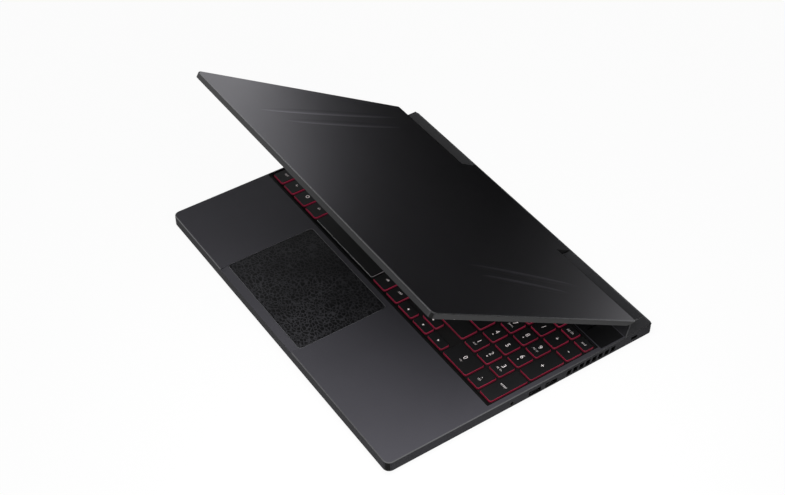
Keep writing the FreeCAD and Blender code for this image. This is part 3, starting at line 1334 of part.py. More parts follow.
def all_nodes():
    """Every sub-part of the laptop by name."""
    nodes = keyboard()
    nodes.update({
        "top_case": top_case(),
        "bottom_cover": bottom_cover(),
        "rear_cover": rear_cover(),
        "rear_deck_panel": rear_deck_panel(),
        "power_button": power_button(),
        "keyboard_plate": keyboard_plate(),
        "keyboard_backlight": keyboard_backlight(),
        "touchpad": touchpad(),
        "touchpad_bracket": touchpad_bracket(),
        "audio_jack": audio_jack(),
        "usb_socket_right_front": socket(1, USB_RIGHT_FRONT_Y, USB_WIDTH),
        "usb_socket_right_rear": socket(1, USB_RIGHT_REAR_Y, USB_WIDTH),
        "usb_socket_left": socket(-1, USB_LEFT_Y, USB_WIDTH),
        "video_socket": socket(-1, VIDEO_Y, VIDEO_WIDTH),
        "power_inlet": socket(-1, POWER_Y, POWER_WIDTH),
        "port_board": port_board(),
        "mainboard": mainboard(),
        "processor_chips": processor_chips(),
        "cooling_plate": cooling_plate(),
        "heat_pipes": Part.makeCompound(both_sides(heat_pipe)),
        "battery_pack": battery_pack(),
        "memory_modules": memory_modules(),
        "solid_state_drive": solid_state_drive(),
        "wireless_card": wireless_card(),
        "rubber_feet": rubber_feet(),
        "bottom_screws": bottom_screws(),
        "lid_cover": lid_cover(),
        "hinge_trim": hinge_trim(),
        "screen_bezel": screen_bezel(),
        "display_panel": display_panel(),
        "webcam_module": webcam_module(),
        "lid_bumpers": lid_bumpers(),
    })
    for name, side in (("left", -1), ("right", 1)):
        nodes["fan_housing_" + name] = fan_housing(side)
        nodes["fan_rotor_" + name] = fan_rotor(side)
        nodes["radiator_" + name] = radiator(side)
        nodes["speaker_" + name] = speaker(side)
        nodes["hinge_bracket_" + name] = hinge_bracket(side)
        nodes["hinge_arm_" + name] = hinge_arm(side)
    return nodes


os.makedirs("parts", exist_ok=True)
for node, shape in all_nodes().items():
    shape.exportStep("parts/" + node + ".step")
print("base", round(WIDTH, 2), "x", round(DEPTH, 2), "mm, deck at", round(DECK_Z, 2))
print("hinge axis y", round(HINGE_Y, 2), "z", round(HINGE_Z, 2))
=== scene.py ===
"""Looks for a laptop computer with its lid partly lowered over a lit keyboard."""
import json
import math

import bmesh
import bpy
from mathutils import Matrix, Vector
from mathutils.bvhtree import BVHTree


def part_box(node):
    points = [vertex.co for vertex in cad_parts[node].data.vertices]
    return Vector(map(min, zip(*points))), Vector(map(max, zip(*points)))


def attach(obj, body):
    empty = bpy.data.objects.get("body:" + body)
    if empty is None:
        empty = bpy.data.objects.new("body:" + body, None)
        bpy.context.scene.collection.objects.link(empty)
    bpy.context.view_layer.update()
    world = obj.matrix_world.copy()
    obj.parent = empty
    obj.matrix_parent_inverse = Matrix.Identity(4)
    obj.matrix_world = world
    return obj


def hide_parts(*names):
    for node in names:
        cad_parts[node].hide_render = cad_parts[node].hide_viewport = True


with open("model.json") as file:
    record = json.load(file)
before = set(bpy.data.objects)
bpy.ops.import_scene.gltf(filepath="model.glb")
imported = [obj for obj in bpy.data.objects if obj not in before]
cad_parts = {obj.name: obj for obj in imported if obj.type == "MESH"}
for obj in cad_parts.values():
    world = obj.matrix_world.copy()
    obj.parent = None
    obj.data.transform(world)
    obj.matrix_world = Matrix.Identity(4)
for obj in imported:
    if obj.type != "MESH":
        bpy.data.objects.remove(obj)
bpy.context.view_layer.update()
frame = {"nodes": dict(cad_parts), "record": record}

# A millimetre and the distance at which two corners count as one, in metres
MM = 0.001
WELD = 1e-6

WHITE = (1, 1, 1, 1)

# Camera: its place in metres, its angles in degrees, its sensor and lens in millimetres
CAMERA_PLACE = (0.7900, -0.5459, 0.9406)
CAMERA_AZIMUTH = 55.953
CAMERA_ELEVATION = 43.136
SENSOR_WIDTH = 36.0
LENS = 67.72
CLIP_START = 0.01
CLIP_END = 50

# Key caps, in millimetres, and the places of their finishes
CAP_CORNER = 2.2
CAP_CORNER_STEPS = 4
CAP_FOOT = 0.5
CAP_LEAN = 0.55
CAP_ROUND = 0.3
CAP_ROUND_STEPS = 3
RIM_HEIGHT = 0.24
RIM_LEAN = 0.1
CAP_TOP, CAP_SIDE, CAP_RIM = range(3)
LEAST_CORNER = 0.3

# Legends, in millimetres
LETTER_SIZE = 6.4
WORD_SIZE = 3.4
SMALL_WORD_SIZE = 2.8
STROKE_THINNING = 0.05
STROKE_STEPS = 2
LEGEND_LIFT = 0.02
LETTER_RISE = 2.0
LETTER_TO_WORD = 4.6
SHORT_KEY = 15

# Signs: their size as a share of a letter, and the reach of their points as a share of their size
SIGN_SHARE = 0.8
SHORT_KEY_SIGN_SHARE = 0.6
RING_RADII = (0.25, 0.36)
RING_SIDES = 20
ARROW_REACH = 0.32
ARROW_TURNS = {"@right": 0, "@up": 90, "@left": 180, "@down": 270}

# Rounded edges of the rear cover, in millimetres and degrees
EDGE_WIDTH = 0.6
EDGE_LIFT = 0.04
EDGE_DEPTH = 0.4
EDGE_LENGTH = 4.0
EDGE_ANGLE = 15

# Dark band of painted shade round the keyboard, in millimetres: its widths at the left, front, right and
# rear, and how far the plate below runs under the deck along X and Y
SHADE_BAND_WIDTHS = (0.6, 3.0, 0.8, 0.6)
SHADE_BAND_LIFT = 0.04
SHADE_BAND_DEPTH = 0.4
PLATE_UNDER = Vector((-0.1, 1.2, 0))

# Bevel round the touchpad, in millimetres: how far out from the pad and how high above it
BEVEL_SECTION = ((0.72, 0.15), (0.45, 0.19), (0.25, 0.0), (0.55, -0.1))
BEVEL_CORNER = 2.5
BEVEL_CORNER_STEPS = 6

# How the faces of the shells are told apart: by how far they look up or turn at a corner, by whether
# they look at another face nearby, and by how deep they lie under an inlay, in millimetres
FLAT_UP = 0.95
CHAMFER_UP = 0.5
CHAMFER_TURN = 0.15
WALL_TURN = 0.35
OPENING_WIDTH = 20.0
RAY_LIFT = 0.04
INLAY_DEPTH = 0.4

# Angle of the lid at rest, in degrees from shut
LID_ANGLE = 31.7

# Lean of the lid's hollows times their distance from the middle in metres, where their painted highlight
# is brightest
HIGHLIGHT_LEAN = 0.008

# Grain of the materials: the places of a dark and a light shade along a noise, and the noise itself
SHADE_PLACES = (0.3, 0.7)
CLOUD_SCALE = 14
CLOUD_DETAIL = 4
FINE_DETAIL = 2

# Net of bent cells on the touchpad: its colours, its turn in degrees, where its lines end, the scales of
# its cells, bends and faded patches, and how far it is bent, in metres
CELL_GROUND = (0.003, 0.003, 0.0034)
CELL_LINES = (0.048, 0.048, 0.053)
CELL_TURN = 20
CELL_STRETCH = (1, 1, 0.02)
CELL_SCALE = 300
LINE_EDGES = (0.04, 0.13)
BEND_SCALE = 70
BEND_DETAIL = 3
BEND_REACH = (0.012, 0.004, 0.0)
PATCH_SCALE = 26

# Stage: the floor's size in metres, how white it is when seen, and the light from all round
FLOOR_SIZE = 6.0
FLOOR_COLOUR = (0.8, 0.8, 0.8, 1)
FLOOR_WHITE = 0.96
AMBIENT = 0.15

# Soft lights: place, aim and side in metres, and power in watts
SOFT_BOXES = {
    "overhead": ((0.35, -0.15, 1.0), (0.1, -0.1, 0), 0.6, 1.5),
    "right": ((0.25, -0.14, 0.32), (0.15, -0.12, 0), 0.25, 2.2),
}

# Cards that show only in glossy surfaces: their colour and glow, and their corners in metres
CLOTH = (0.01, 0.01, 0.01)
CLOTH_ROUGH = 0.9
CLOTH_GLOW = 0.045
FLAG_LIFT = 0.001
FLAGS = {
    "low_flag": [(-0.90, 0.640, 0), (-0.18, 0.826, 0), (0.10, 0.898, 0.2), (0.30, 0.95, 0.7),
                 (-0.35, 0.782, 0.7), (-0.62, 0.712, 0.2)],
    "high_flag": [(-1.4, -0.187, 0.1), (-0.95, 0.224, 0.1), (-0.80, 0.361, 0.45), (-0.1, 1.0, 0.45),
                  (-0.1, 1.0, 1.5), (-1.05, 0.1326, 1.5), (-1.10, 0.087, 0.85), (-1.4, -0.187, 0.85)],
    "top_flag": [(-1.6, -0.5, 1.6), (-0.8, 0.5, 1.6), (-0.8, 0.5, 2.6), (-1.6, -0.5, 2.6)],
    "edge_flag": [(0.35, 0.95, 0.02), (1.0, 0.75, 0.02), (1.0, 0.75, 0.6), (0.35, 0.95, 0.6)],
    "side_flag": [(0.60, 0.33, 0.15), (0.53, 0.80, 0.15), (0.53, 0.80, 0.75), (0.60, 0.33, 0.75)],
    "front_flag": [(-0.70, -0.90, 0), (-0.10, -1.1, 0), (-0.10, -1.1, 0.30), (-0.70, -0.90, 0.30)],
    "front_floor_flag": [(-0.35, -0.45, FLAG_LIFT), (-0.05, -0.5, FLAG_LIFT),
                         (-0.10, -1.1, FLAG_LIFT), (-0.70, -0.90, FLAG_LIFT)],
}

# A card on the floor that pales along a direction, at places in metres from the origin
FLOOR_FLAG = [(-0.40, 0.10, FLAG_LIFT), (0.22, 0.14, FLAG_LIFT),
              (-0.14, 0.80, FLAG_LIFT), (-0.90, 0.63, FLAG_LIFT)]
PALING_DIRECTION = (1, 0.55, 0)
PALING_STOPS = ((0.03, 0.0), (0.10, 0.05), (0.15, 0.13), (0.19, 0.23), (0.22, 0.43), (0.30, 1.0))

# Surfaces with a fine grain, as grained takes them
GRAINED = {
    # The lid's metal, with a painted highlight on the outward slopes of its hollows
    "case_metal": dict(colour=(0.092, 0.0895, 0.104), rough=0.30, spread=0.04, gleam=2.4, Metallic=1.0),
    "deck_metal": dict(colour=(0.062, 0.0605, 0.070), rough=0.42, spread=0.06, Metallic=0.35,
                       Specular_IOR_Level=0.4),
    # Brighter copies of the metals for chamfers and rounded edges: painted highlight
    "lid_edge_highlight": dict(colour=(0.24, 0.24, 0.25), rough=0.28, Metallic=1.0),
    "deck_edge_highlight": dict(colour=(0.14, 0.14, 0.145), rough=0.28, Metallic=1.0),
    "cover_edge_highlight": dict(colour=(0.085, 0.085, 0.088), rough=0.3, Metallic=1.0),
    # Dark finishes of the lid's walls and front, much darker than its metal face: painted shade
    "lid_side": dict(colour=(0.009, 0.009, 0.0095), rough=0.5, Specular_IOR_Level=0.24),
    "lid_front": dict(colour=(0.009, 0.009, 0.0095), rough=0.3, Specular_IOR_Level=0.55),
    "base_side": dict(colour=(0.0185, 0.0182, 0.0212), rough=0.5, Specular_IOR_Level=0.05),
    # Near-black finish for openings, corner walls, what lies under the inlay and the band round the
    # keyboard: painted shade
    "recess": dict(colour=(0.003, 0.003, 0.003), rough=0.7, Specular_IOR_Level=0.1),
    "case_plastic": dict(colour=(0.0145, 0.0145, 0.016), rough=0.46, Specular_IOR_Level=0.4),
    # The rear deck panel's dark plastic, darkened further as painted shade from the lid
    "panel_plastic": dict(colour=(0.005, 0.005, 0.0055), rough=0.5, Specular_IOR_Level=0.25),
    "key_plastic": dict(colour=(0.010, 0.010, 0.0105), rough=0.5, grain=3000, Specular_IOR_Level=0.35),
    "post_rubber": dict(colour=(0.12, 0.12, 0.12), rough=0.7),
    "sheet_metal": dict(colour=(0.010, 0.010, 0.010), rough=0.6, Specular_IOR_Level=0.3),
    "socket_steel": dict(colour=(0.42, 0.42, 0.43), rough=0.3, grain=1400, stretch=(1, 8, 8),
                         Metallic=1.0),
    "jack_plastic": dict(colour=(0.006, 0.006, 0.006), rough=0.5, Specular_IOR_Level=0.2),
    "chip_package": dict(colour=(0.05, 0.052, 0.058), rough=0.25, grain=900),
    "copper": dict(colour=(0.26, 0.12, 0.065), rough=0.4, grain=1200, stretch=(1, 6, 6), Metallic=1.0),
    "battery_wrap": dict(colour=(0.015, 0.015, 0.016), rough=0.45, grain=1600),
    "inner_plastic": dict(colour=(0.02, 0.02, 0.02), rough=0.5),
    "fin_metal": dict(colour=(0.5, 0.5, 0.51), rough=0.35, grain=1500, stretch=(8, 1, 1), Metallic=1.0),
    "hinge_steel": dict(colour=(0.33, 0.33, 0.34), rough=0.35, grain=1500, stretch=(1, 6, 6),
                        Metallic=1.0),
    "foot_rubber": dict(colour=(0.018, 0.018, 0.018), rough=0.8, grain=1800, depth=0.0001),
    "bezel_plastic": dict(colour=(0.012, 0.012, 0.013), rough=0.55, grain=1500, depth=0.00008),
    "lens": dict(colour=(0.008, 0.008, 0.012), rough=0.08, grain=300, Coat_Weight=1.0),
    "flag_cloth": dict(colour=CLOTH, rough=CLOTH_ROUGH, grain=400, Specular_IOR_Level=0.0,
                       Emission_Color=WHITE, Emission_Strength=CLOTH_GLOW),
}

# Surfaces lit from below, and a rim that glows as a painted highlight, as lit takes them
LIT = {
    "light_sheet": dict(colour=(0.3, 0.01, 0.01), glow=(0.8, 0.02, 0.03), strength=0.05),
    "key_rim": dict(colour=(0.20, 0.01, 0.02), glow=(0.30, 0.013, 0.05), strength=1.0),
    "key_side": dict(colour=(0.03, 0.003, 0.005), glow=(0.055, 0.003, 0.010), strength=1.0),
    "key_legend": dict(colour=(0.75, 0.72, 0.72), glow=(0.8, 0.7, 0.7), strength=0.5),
    # A grey glow on the space bar's rim: a painted highlight
    "glowing_rim_highlight": dict(colour=(0.45, 0.45, 0.46), glow=(0.2, 0.2, 0.21), strength=0.6),
}

# Finishes of the shells by kind of face
# Chamfers take a brighter metal, a painted highlight; openings and corner walls a near-black finish,
# painted shade
DECK_FINISHES = {"face": "deck_metal", "chamfer": "deck_edge_highlight", "wall": "base_side", "opening": "recess",
                 "corner_chamfer": "deck_edge_highlight", "corner_wall": "recess", "front_wall": "base_side"}
# On the lid, corner chamfers take the dark wall finish: painted shade where a highlight would fall
LID_FINISHES = {"face": "case_metal", "chamfer": "lid_edge_highlight", "wall": "lid_side", "opening": "lid_side",
                "corner_chamfer": "lid_side", "corner_wall": "recess", "front_wall": "lid_front"}

# Legends of each node's keys, from rear to front and from left to right: a letter, a word, or a sign
# that starts with @, and after a bar what stands small below it
LEGENDS = {
    "function_row_keys": ["esc", "f1", "f2", "f3", "f4", "f5", "f6", "f7", "f8", "f9", "f10", "f11",
                          "f12", "prt", "ins", "del", "home", "pg up", "pg dn", "end"],
    "number_row_keys": ["`", "1", "2", "3", "4", "5", "6", "7", "8", "9", "0", "-", "=", "back"],
    "upper_letter_keys": ["tab", "Q", "W", "E", "R", "T", "Y", "U", "I", "O", "P", "[", "]", "\\"],
    "home_letter_keys": ["caps", "A", "S", "D", "F", "G", "H", "J", "K", "L", ";", "'"],
    "lower_letter_keys": ["Z", "X", "C", "V", "B", "N", "M", ",", ".", "/"],
    "modifier_keys": ["ctrl", "fn", "@ring", "alt", "alt", "ctrl"],
    "number_pad_keys": ["num", "/", "*", "-", "7|home", "8|@up", "9|pg up", "+", "4|@left", "5",
                        "6|@right", "1|end", "2|@down", "3|pg dn", "enter", "0|ins", ".|del"],
    "arrow_keys": ["@up", "@left", "@down", "@right"],
    "space_bar": [""],
    "enter_key": ["enter"],
    "left_shift_key": ["shift"],
    "right_shift_key": ["shift"],
}


def shader_node(tree, kind, inputs=None, **settings):
    """A node of a material, with its settings, and with its inputs set or linked."""
    made = tree.nodes.new(kind)
    for name, value in settings.items():
        setattr(made, name, value)
    for name, value in (inputs or {}).items():
        if isinstance(value, bpy.types.NodeSocket):
            tree.links.new(value, made.inputs[name])
        else:
            made.inputs[name].default_value = value
    return made


def new_material(name, **constants):
    """A material with one principled shader, and constants on its sockets."""
    material = bpy.data.materials.new(name)
    material.use_nodes = True
    tree = material.node_tree
    shader = tree.nodes["Principled BSDF"]
    for socket, value in constants.items():
        shader.inputs[socket.replace("_", " ")].default_value = value
    return material, tree, shader


def place(tree, stretch=(1, 1, 1), turn=0.0):
    """Where a point lies on its piece, in metres, stretched along the axes and turned about Z."""
    where = shader_node(tree, "ShaderNodeTexCoord").outputs["Object"]
    mapping = shader_node(tree, "ShaderNodeMapping",
                          {"Vector": where, "Scale": stretch, "Rotation": (0, 0, turn)})
    return mapping.outputs["Vector"]


def noise(tree, vector, scale, detail=FINE_DETAIL):
    """Soft random grain of about one over the scale in size."""
    made = shader_node(tree, "ShaderNodeTexNoise", {"Vector": vector, "Scale": scale, "Detail": detail})
    return made.outputs["Fac"]


def ramp(tree, value, stops):
    """Colours at places along a value."""
    made = shader_node(tree, "ShaderNodeValToRGB", {"Fac": value})
    elements = made.color_ramp.elements
    while len(elements) < len(stops):
        elements.new(0.5)
    for element, (place_on, colour) in zip(elements, stops):
        element.position = place_on
        element.color = (*colour, 1)
    return made.outputs["Color"]


def shaded(tree, value, colour, spread):
    """A colour that runs from a darker to a lighter shade along a value."""
    dark = [channel * (1 - spread) for channel in colour]
    light = [min(1, channel * (1 + spread)) for channel in colour]
    return ramp(tree, value, list(zip(SHADE_PLACES, (dark, light))))


def between(tree, value, low, high, span=1.0):
    """A value from nothing to a span, spread over a range."""
    made = shader_node(tree, "ShaderNodeMapRange",
                       {"Value": value, "From Max": span, "To Min": low, "To Max": high})
    return made.outputs["Result"]


def around(tree, value, middle, spread):
    """A value from 0 to 1, spread to both sides of a middle."""
    return between(tree, value, middle - spread, middle + spread)


def maths(tree, operation, first, second, clamp=False):
    """The sum or product of two values."""
    made = shader_node(tree, "ShaderNodeMath", {0: first, 1: second}, operation=operation, use_clamp=clamp)
    return made.outputs["Value"]


def bump(tree, height, strength, distance):
    """A normal that follows a height."""
    made = shader_node(tree, "ShaderNodeBump",
                       {"Height": height, "Strength": strength, "Distance": distance})
    return made.outputs["Normal"]


def painted_slope_highlight(tree, colour, gleam):
    """A colour brightened on slopes that lean outwards to the left and right: a painted highlight."""
    own = shader_node(tree, "ShaderNodeTexCoord").outputs
    lean = shader_node(tree, "ShaderNodeSeparateXYZ", {"Vector": own["Normal"]}).outputs["X"]
    side = shader_node(tree, "ShaderNodeSeparateXYZ", {"Vector": own["Object"]}).outputs["X"]
    slope_highlight = between(tree, maths(tree, "MULTIPLY", lean, side), 1.0, gleam, HIGHLIGHT_LEAN)
    scaled = shader_node(tree, "ShaderNodeVectorMath", {0: colour, "Scale": slope_highlight}, operation="SCALE")
    return scaled.outputs["Vector"]


def grained(name, colour, rough, grain=2600, depth=0.00004, strength=0.25, spread=0.12,
            stretch=(1, 1, 1), rough_spread=0.05, gleam=None, **constants):
    """A coated or moulded surface with a fine grain and a slight unevenness, and with a highlight gain a
    painted highlight on outward slopes.
    """
    material, tree, shader = new_material(name, **constants)
    where = place(tree, stretch)
    tint = shaded(tree, noise(tree, where, CLOUD_SCALE, CLOUD_DETAIL), colour, spread)
    fine = noise(tree, where, grain)
    links = tree.links
    links.new(painted_slope_highlight(tree, tint, gleam) if gleam else tint, shader.inputs["Base Color"])
    links.new(around(tree, fine, rough, rough_spread), shader.inputs["Roughness"])
    links.new(bump(tree, fine, strength, depth), shader.inputs["Normal"])
    return material


def lit(name, colour, glow, strength, rough=0.35, grain=60, spread=0.2, glow_spread=0.25):
    """A glowing surface, slightly uneven, for clear mouldings lit from below and for a rim that glows as a
    painted highlight.
    """
    material, tree, shader = new_material(name, Roughness=rough, Emission_Strength=strength)
    uneven = noise(tree, place(tree), grain)
    tree.links.new(shaded(tree, uneven, glow, glow_spread), shader.inputs["Emission Color"])
    tree.links.new(shaded(tree, uneven, colour, spread), shader.inputs["Base Color"])
    return material


def cell_pattern(name, ground, lines, rough=0.4, spread=0.08, rough_spread=0.05):
    """A smooth surface with a fine raised net of bent cells, which fades in patches."""
    material, tree, shader = new_material(name, Specular_IOR_Level=0.35)
    where = place(tree, CELL_STRETCH, math.radians(CELL_TURN))
    waves = noise(tree, where, BEND_SCALE, BEND_DETAIL)
    shift = shader_node(tree, "ShaderNodeVectorMath", {0: BEND_REACH, "Scale": waves}, operation="SCALE")
    bent = shader_node(tree, "ShaderNodeVectorMath", {0: where, 1: shift.outputs["Vector"]},
                       operation="ADD")
    cells = shader_node(tree, "ShaderNodeTexVoronoi",
                        {"Vector": bent.outputs["Vector"], "Scale": CELL_SCALE, "Randomness": 1.0},
                        feature="DISTANCE_TO_EDGE")
    edge = cells.outputs["Distance"]
    net = ramp(tree, edge, list(zip(LINE_EDGES, (lines, ground))))
    patch = noise(tree, where, PATCH_SCALE)
    # The sockets of a mix of colours go by number, because those of its other types share their names
    share, plain, patterned, result = 0, 6, 7, 2
    faded = shader_node(tree, "ShaderNodeMix",
                        {share: patch, plain: shaded(tree, patch, ground, spread), patterned: net},
                        data_type="RGBA")
    tree.links.new(faded.outputs[result], shader.inputs["Base Color"])
    tree.links.new(around(tree, patch, rough, rough_spread), shader.inputs["Roughness"])
    tree.links.new(bump(tree, edge, strength=0.6, distance=0.0004), shader.inputs["Normal"])
    return material


def board(name):
    """A circuit board with copper runs under a green mask."""
    material, tree, shader = new_material(name, Roughness=0.4)
    where = place(tree, stretch=(1, 1, 0.1))
    bricks = shader_node(tree, "ShaderNodeTexBrick",
                         {"Vector": where, "Scale": 90, "Mortar Size": 0.03,
                          "Color1": (0.012, 0.05, 0.03, 1), "Color2": (0.018, 0.07, 0.04, 1),
                          "Mortar": (0.06, 0.14, 0.07, 1)}).outputs
    tree.links.new(bricks["Color"], shader.inputs["Base Color"])
    tree.links.new(bump(tree, bricks["Fac"], strength=0.2, distance=0.0002), shader.inputs["Normal"])
    return material


def screen(name, dark=(0.006, 0.006, 0.007), light=(0.009, 0.009, 0.011), clouds=8, grain=4000):
    """A dark display behind a matt glass front."""
    material, tree, shader = new_material(name, Coat_Weight=0.6, Coat_Roughness=0.12, IOR=1.5)
    where = place(tree)
    tint = ramp(tree, noise(tree, where, clouds), list(zip(SHADE_PLACES, (dark, light))))
    fine = noise(tree, where, grain)
    tree.links.new(tint, shader.inputs["Base Color"])
    tree.links.new(between(tree, fine, low=0.2, high=0.3), shader.inputs["Roughness"])
    return material


def all_materials():
    """One material for each of the record's material slots, and those of single faces and of cards."""
    made = {name: grained(name, **look) for name, look in GRAINED.items()}
    made.update({name: lit(name, **look) for name, look in LIT.items()})
    made["touch_surface"] = cell_pattern("touch_surface", CELL_GROUND, CELL_LINES)
    made["circuit_board"] = board("circuit_board")
    made["screen_glass"] = screen("screen_glass")
    return made


def dress_nodes(materials):
    """Gives every node of the frame the material of its slot."""
    slots = {part["node"]: part["material_slot"] for part in frame["record"]["subparts"]}
    for name, node in frame["nodes"].items():
        node.data.materials.clear()
        node.data.materials.append(materials[slots[name]])


def face_kind(lean):
    """What a face of a shell is, by the way that it looks when the shell lies level."""
    turn = min(abs(lean.x), abs(lean.y))
    if lean.z > FLAT_UP:
        return "face"
    if lean.z > CHAMFER_UP:
        return "corner_chamfer" if turn > CHAMFER_TURN else "chamfer"
    if turn > WALL_TURN:
        return "corner_wall"
    return "front_wall" if lean.y < -FLAT_UP else "wall"


def lies_under(point, low, high):
    """Whether a point is within the outline of an inlay's box, and well below its top."""
    within = all(low[i] < point[i] < high[i] for i in (0, 1))
    return within and point.z < high.z - INLAY_DEPTH * MM


def paint_case(name, finishes, materials, tilt=0.0, inlay=None):
    """Gives each kind of face of a shell its finish.

    A face that looks at another one nearby lines an opening, and so does what lies under an inlay;
    openings take a dark finish that paints shade.
    """
    cover = [Vector(corner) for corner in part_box(inlay)] if inlay else None
    mesh = frame["nodes"][name].data
    mesh.materials.clear()
    for finish in finishes.values():
        mesh.materials.append(materials[finish])
    kinds = list(finishes)
    level = Matrix.Rotation(math.radians(tilt), 3, "X")
    tree = BVHTree.FromPolygons([vert.co for vert in mesh.vertices],
                                [polygon.vertices[:] for polygon in mesh.polygons])
    for polygon in mesh.polygons:
        start = polygon.center + polygon.normal * RAY_LIFT * MM
        met = tree.ray_cast(start, polygon.normal, OPENING_WIDTH * MM)[0]
        if met is not None or (cover and lies_under(polygon.center, *cover)):
            kind = "opening"
        else:
            kind = face_kind(level @ polygon.normal)
        polygon.material_index = kinds.index(kind)


def islands(node):
    """The box of each separate solid of a node, as low and high corners in millimetres."""
    shape = bmesh.new()
    shape.from_mesh(node.data)
    bmesh.ops.remove_doubles(shape, verts=shape.verts, dist=WELD)
    left = set(shape.verts)
    boxes = []
    while left:
        group, edge = [], [left.pop()]
        while edge:
            vert = edge.pop()
            group.append(vert.co / MM)
            for link in vert.link_edges:
                other = link.other_vert(vert)
                if other in left:
                    left.discard(other)
                    edge.append(other)
        boxes.append((Vector([min(p[i] for p in group) for i in range(3)]),
                      Vector([max(p[i] for p in group) for i in range(3)])))
    shape.free()
    boxes.sort(key=lambda box: (-round((box[0].y + box[1].y) / 2, 1), box[0].x))
    return boxes


def at_angle(x, y, z, radius, degrees):
    """The point at a distance and an angle from a centre."""
    angle = math.radians(degrees)
    return Vector((x + radius * math.cos(angle), y + radius * math.sin(angle), z))


def outline(low, high, inset, corner, steps, z):
    """Points of a rounded rectangle inside a box, at a height."""
    corner = max(corner - inset, LEAST_CORNER)
    x0, x1 = low.x + inset + corner, high.x - inset - corner
    y0, y1 = low.y + inset + corner, high.y - inset - corner
    points = []
    for x, y, start in ((x1, y1, 0), (x0, y1, 90), (x0, y0, 180), (x1, y0, 270)):
        for step in range(steps + 1):
            points.append(at_angle(x, y, z, corner, start + 90 * step / steps))
    return points


def add_ring(shape, points):
    """Corners of a shape at points in millimetres."""
    return [shape.verts.new(Vector(point) * MM) for point in points]


def add_band(shape, lower, upper, slot=0):
    """Smooth faces between two rings of corners."""
    for i in range(len(lower)):
        j = (i + 1) % len(lower)
        face = shape.faces.new((lower[i], lower[j], upper[j], upper[i]))
        face.material_index = slot
        face.smooth = True


def add_closed_bands(shape, rings):
    """Smooth faces from each ring to the next, and from the last to the first."""
    for lower, upper in zip(rings, rings[1:] + rings[:1]):
        add_band(shape, lower, upper)


def add_cap(shape, low, high):
    """One key cap: leaning lit sides, a brighter rim and a dark top with a rounded edge."""
    rim_z = high.z - CAP_ROUND
    levels = [(0.0, low.z, CAP_SIDE), (0.0, low.z + CAP_FOOT, CAP_SIDE),
              (CAP_LEAN - RIM_LEAN, rim_z - RIM_HEIGHT, CAP_SIDE), (CAP_LEAN, rim_z, CAP_RIM)]
    for step in range(1, CAP_ROUND_STEPS + 1):
        angle = math.radians(90 * step / CAP_ROUND_STEPS)
        inset = CAP_LEAN + CAP_ROUND * (1 - math.cos(angle))
        levels.append((inset, rim_z + CAP_ROUND * math.sin(angle), CAP_TOP))
    rings = [add_ring(shape, outline(low, high, inset, CAP_CORNER, CAP_CORNER_STEPS, z))
             for inset, z, _ in levels]
    for lower, upper, (_, _, slot) in zip(rings, rings[1:], levels[1:]):
        add_band(shape, lower, upper, slot)
    shape.faces.new(rings[-1]).material_index = CAP_TOP
    shape.faces.new(rings[0][::-1]).material_index = CAP_TOP


def add_object(name, data):
    """Puts an object into the scene."""
    made = bpy.data.objects.new(name, data)
    bpy.context.scene.collection.objects.link(made)
    return made


def add_piece(name, shape, materials, body, replaced=()):
    """Makes a piece of the object from a shape and lets it ride on a body."""
    mesh = bpy.data.meshes.new(name)
    shape.to_mesh(mesh)
    shape.free()
    for material in materials:
        mesh.materials.append(material)
    piece = add_object(name, mesh)
    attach(piece, body)
    if replaced:
        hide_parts(*replaced)


def add_text(shape, words, size, x, y, z):
    """Flat letters centred at a point."""
    curve = bpy.data.curves.new("legend", "FONT")
    curve.body = words
    curve.size = size
    curve.align_x = "CENTER"
    curve.align_y = "CENTER"
    curve.resolution_u = STROKE_STEPS
    curve.offset = -STROKE_THINNING
    holder = add_object("legend", curve)
    made = holder.evaluated_get(bpy.context.evaluated_depsgraph_get()).to_mesh()
    made.transform(Matrix.Translation((x, y, z)))
    made.transform(Matrix.Scale(MM, 4))
    shape.from_mesh(made)
    bpy.data.objects.remove(holder)
    bpy.data.curves.remove(curve)


def add_sign(shape, kind, size, x, y, z):
    """A small triangle or ring drawn on a key."""
    if kind == "@ring":
        turns = [360 * i / RING_SIDES for i in range(RING_SIDES)]
        inner, outer = [add_ring(shape, [at_angle(x, y, z, size * share, turn) for turn in turns])
                        for share in RING_RADII]
        add_band(shape, outer, inner)
    else:
        turns = [ARROW_TURNS[kind] + angle for angle in (0, 120, 240)]
        points = [at_angle(x, y, z, size * ARROW_REACH, turn) for turn in turns]
        shape.faces.new(add_ring(shape, points))


def add_legend(shape, label, low, high):
    """The legend of one key: a letter, a word, a sign, or a letter above a small word or sign."""
    x = (low.x + high.x) / 2
    y = (low.y + high.y) / 2
    z = high.z + LEGEND_LIFT
    main, _, lesser = label.partition("|")
    short = high.y - low.y < SHORT_KEY
    if lesser:
        y += LETTER_RISE
        add_mark = add_sign if lesser.startswith("@") else add_text
        add_mark(shape, lesser, SMALL_WORD_SIZE, x, y - LETTER_TO_WORD, z)
    if main.startswith("@"):
        share = SHORT_KEY_SIGN_SHARE if short else SIGN_SHARE
        add_sign(shape, main, LETTER_SIZE * share, x, y, z)
    elif main:
        size = LETTER_SIZE if len(main) == 1 and not short else WORD_SIZE
        add_text(shape, main, size, x, y, z)


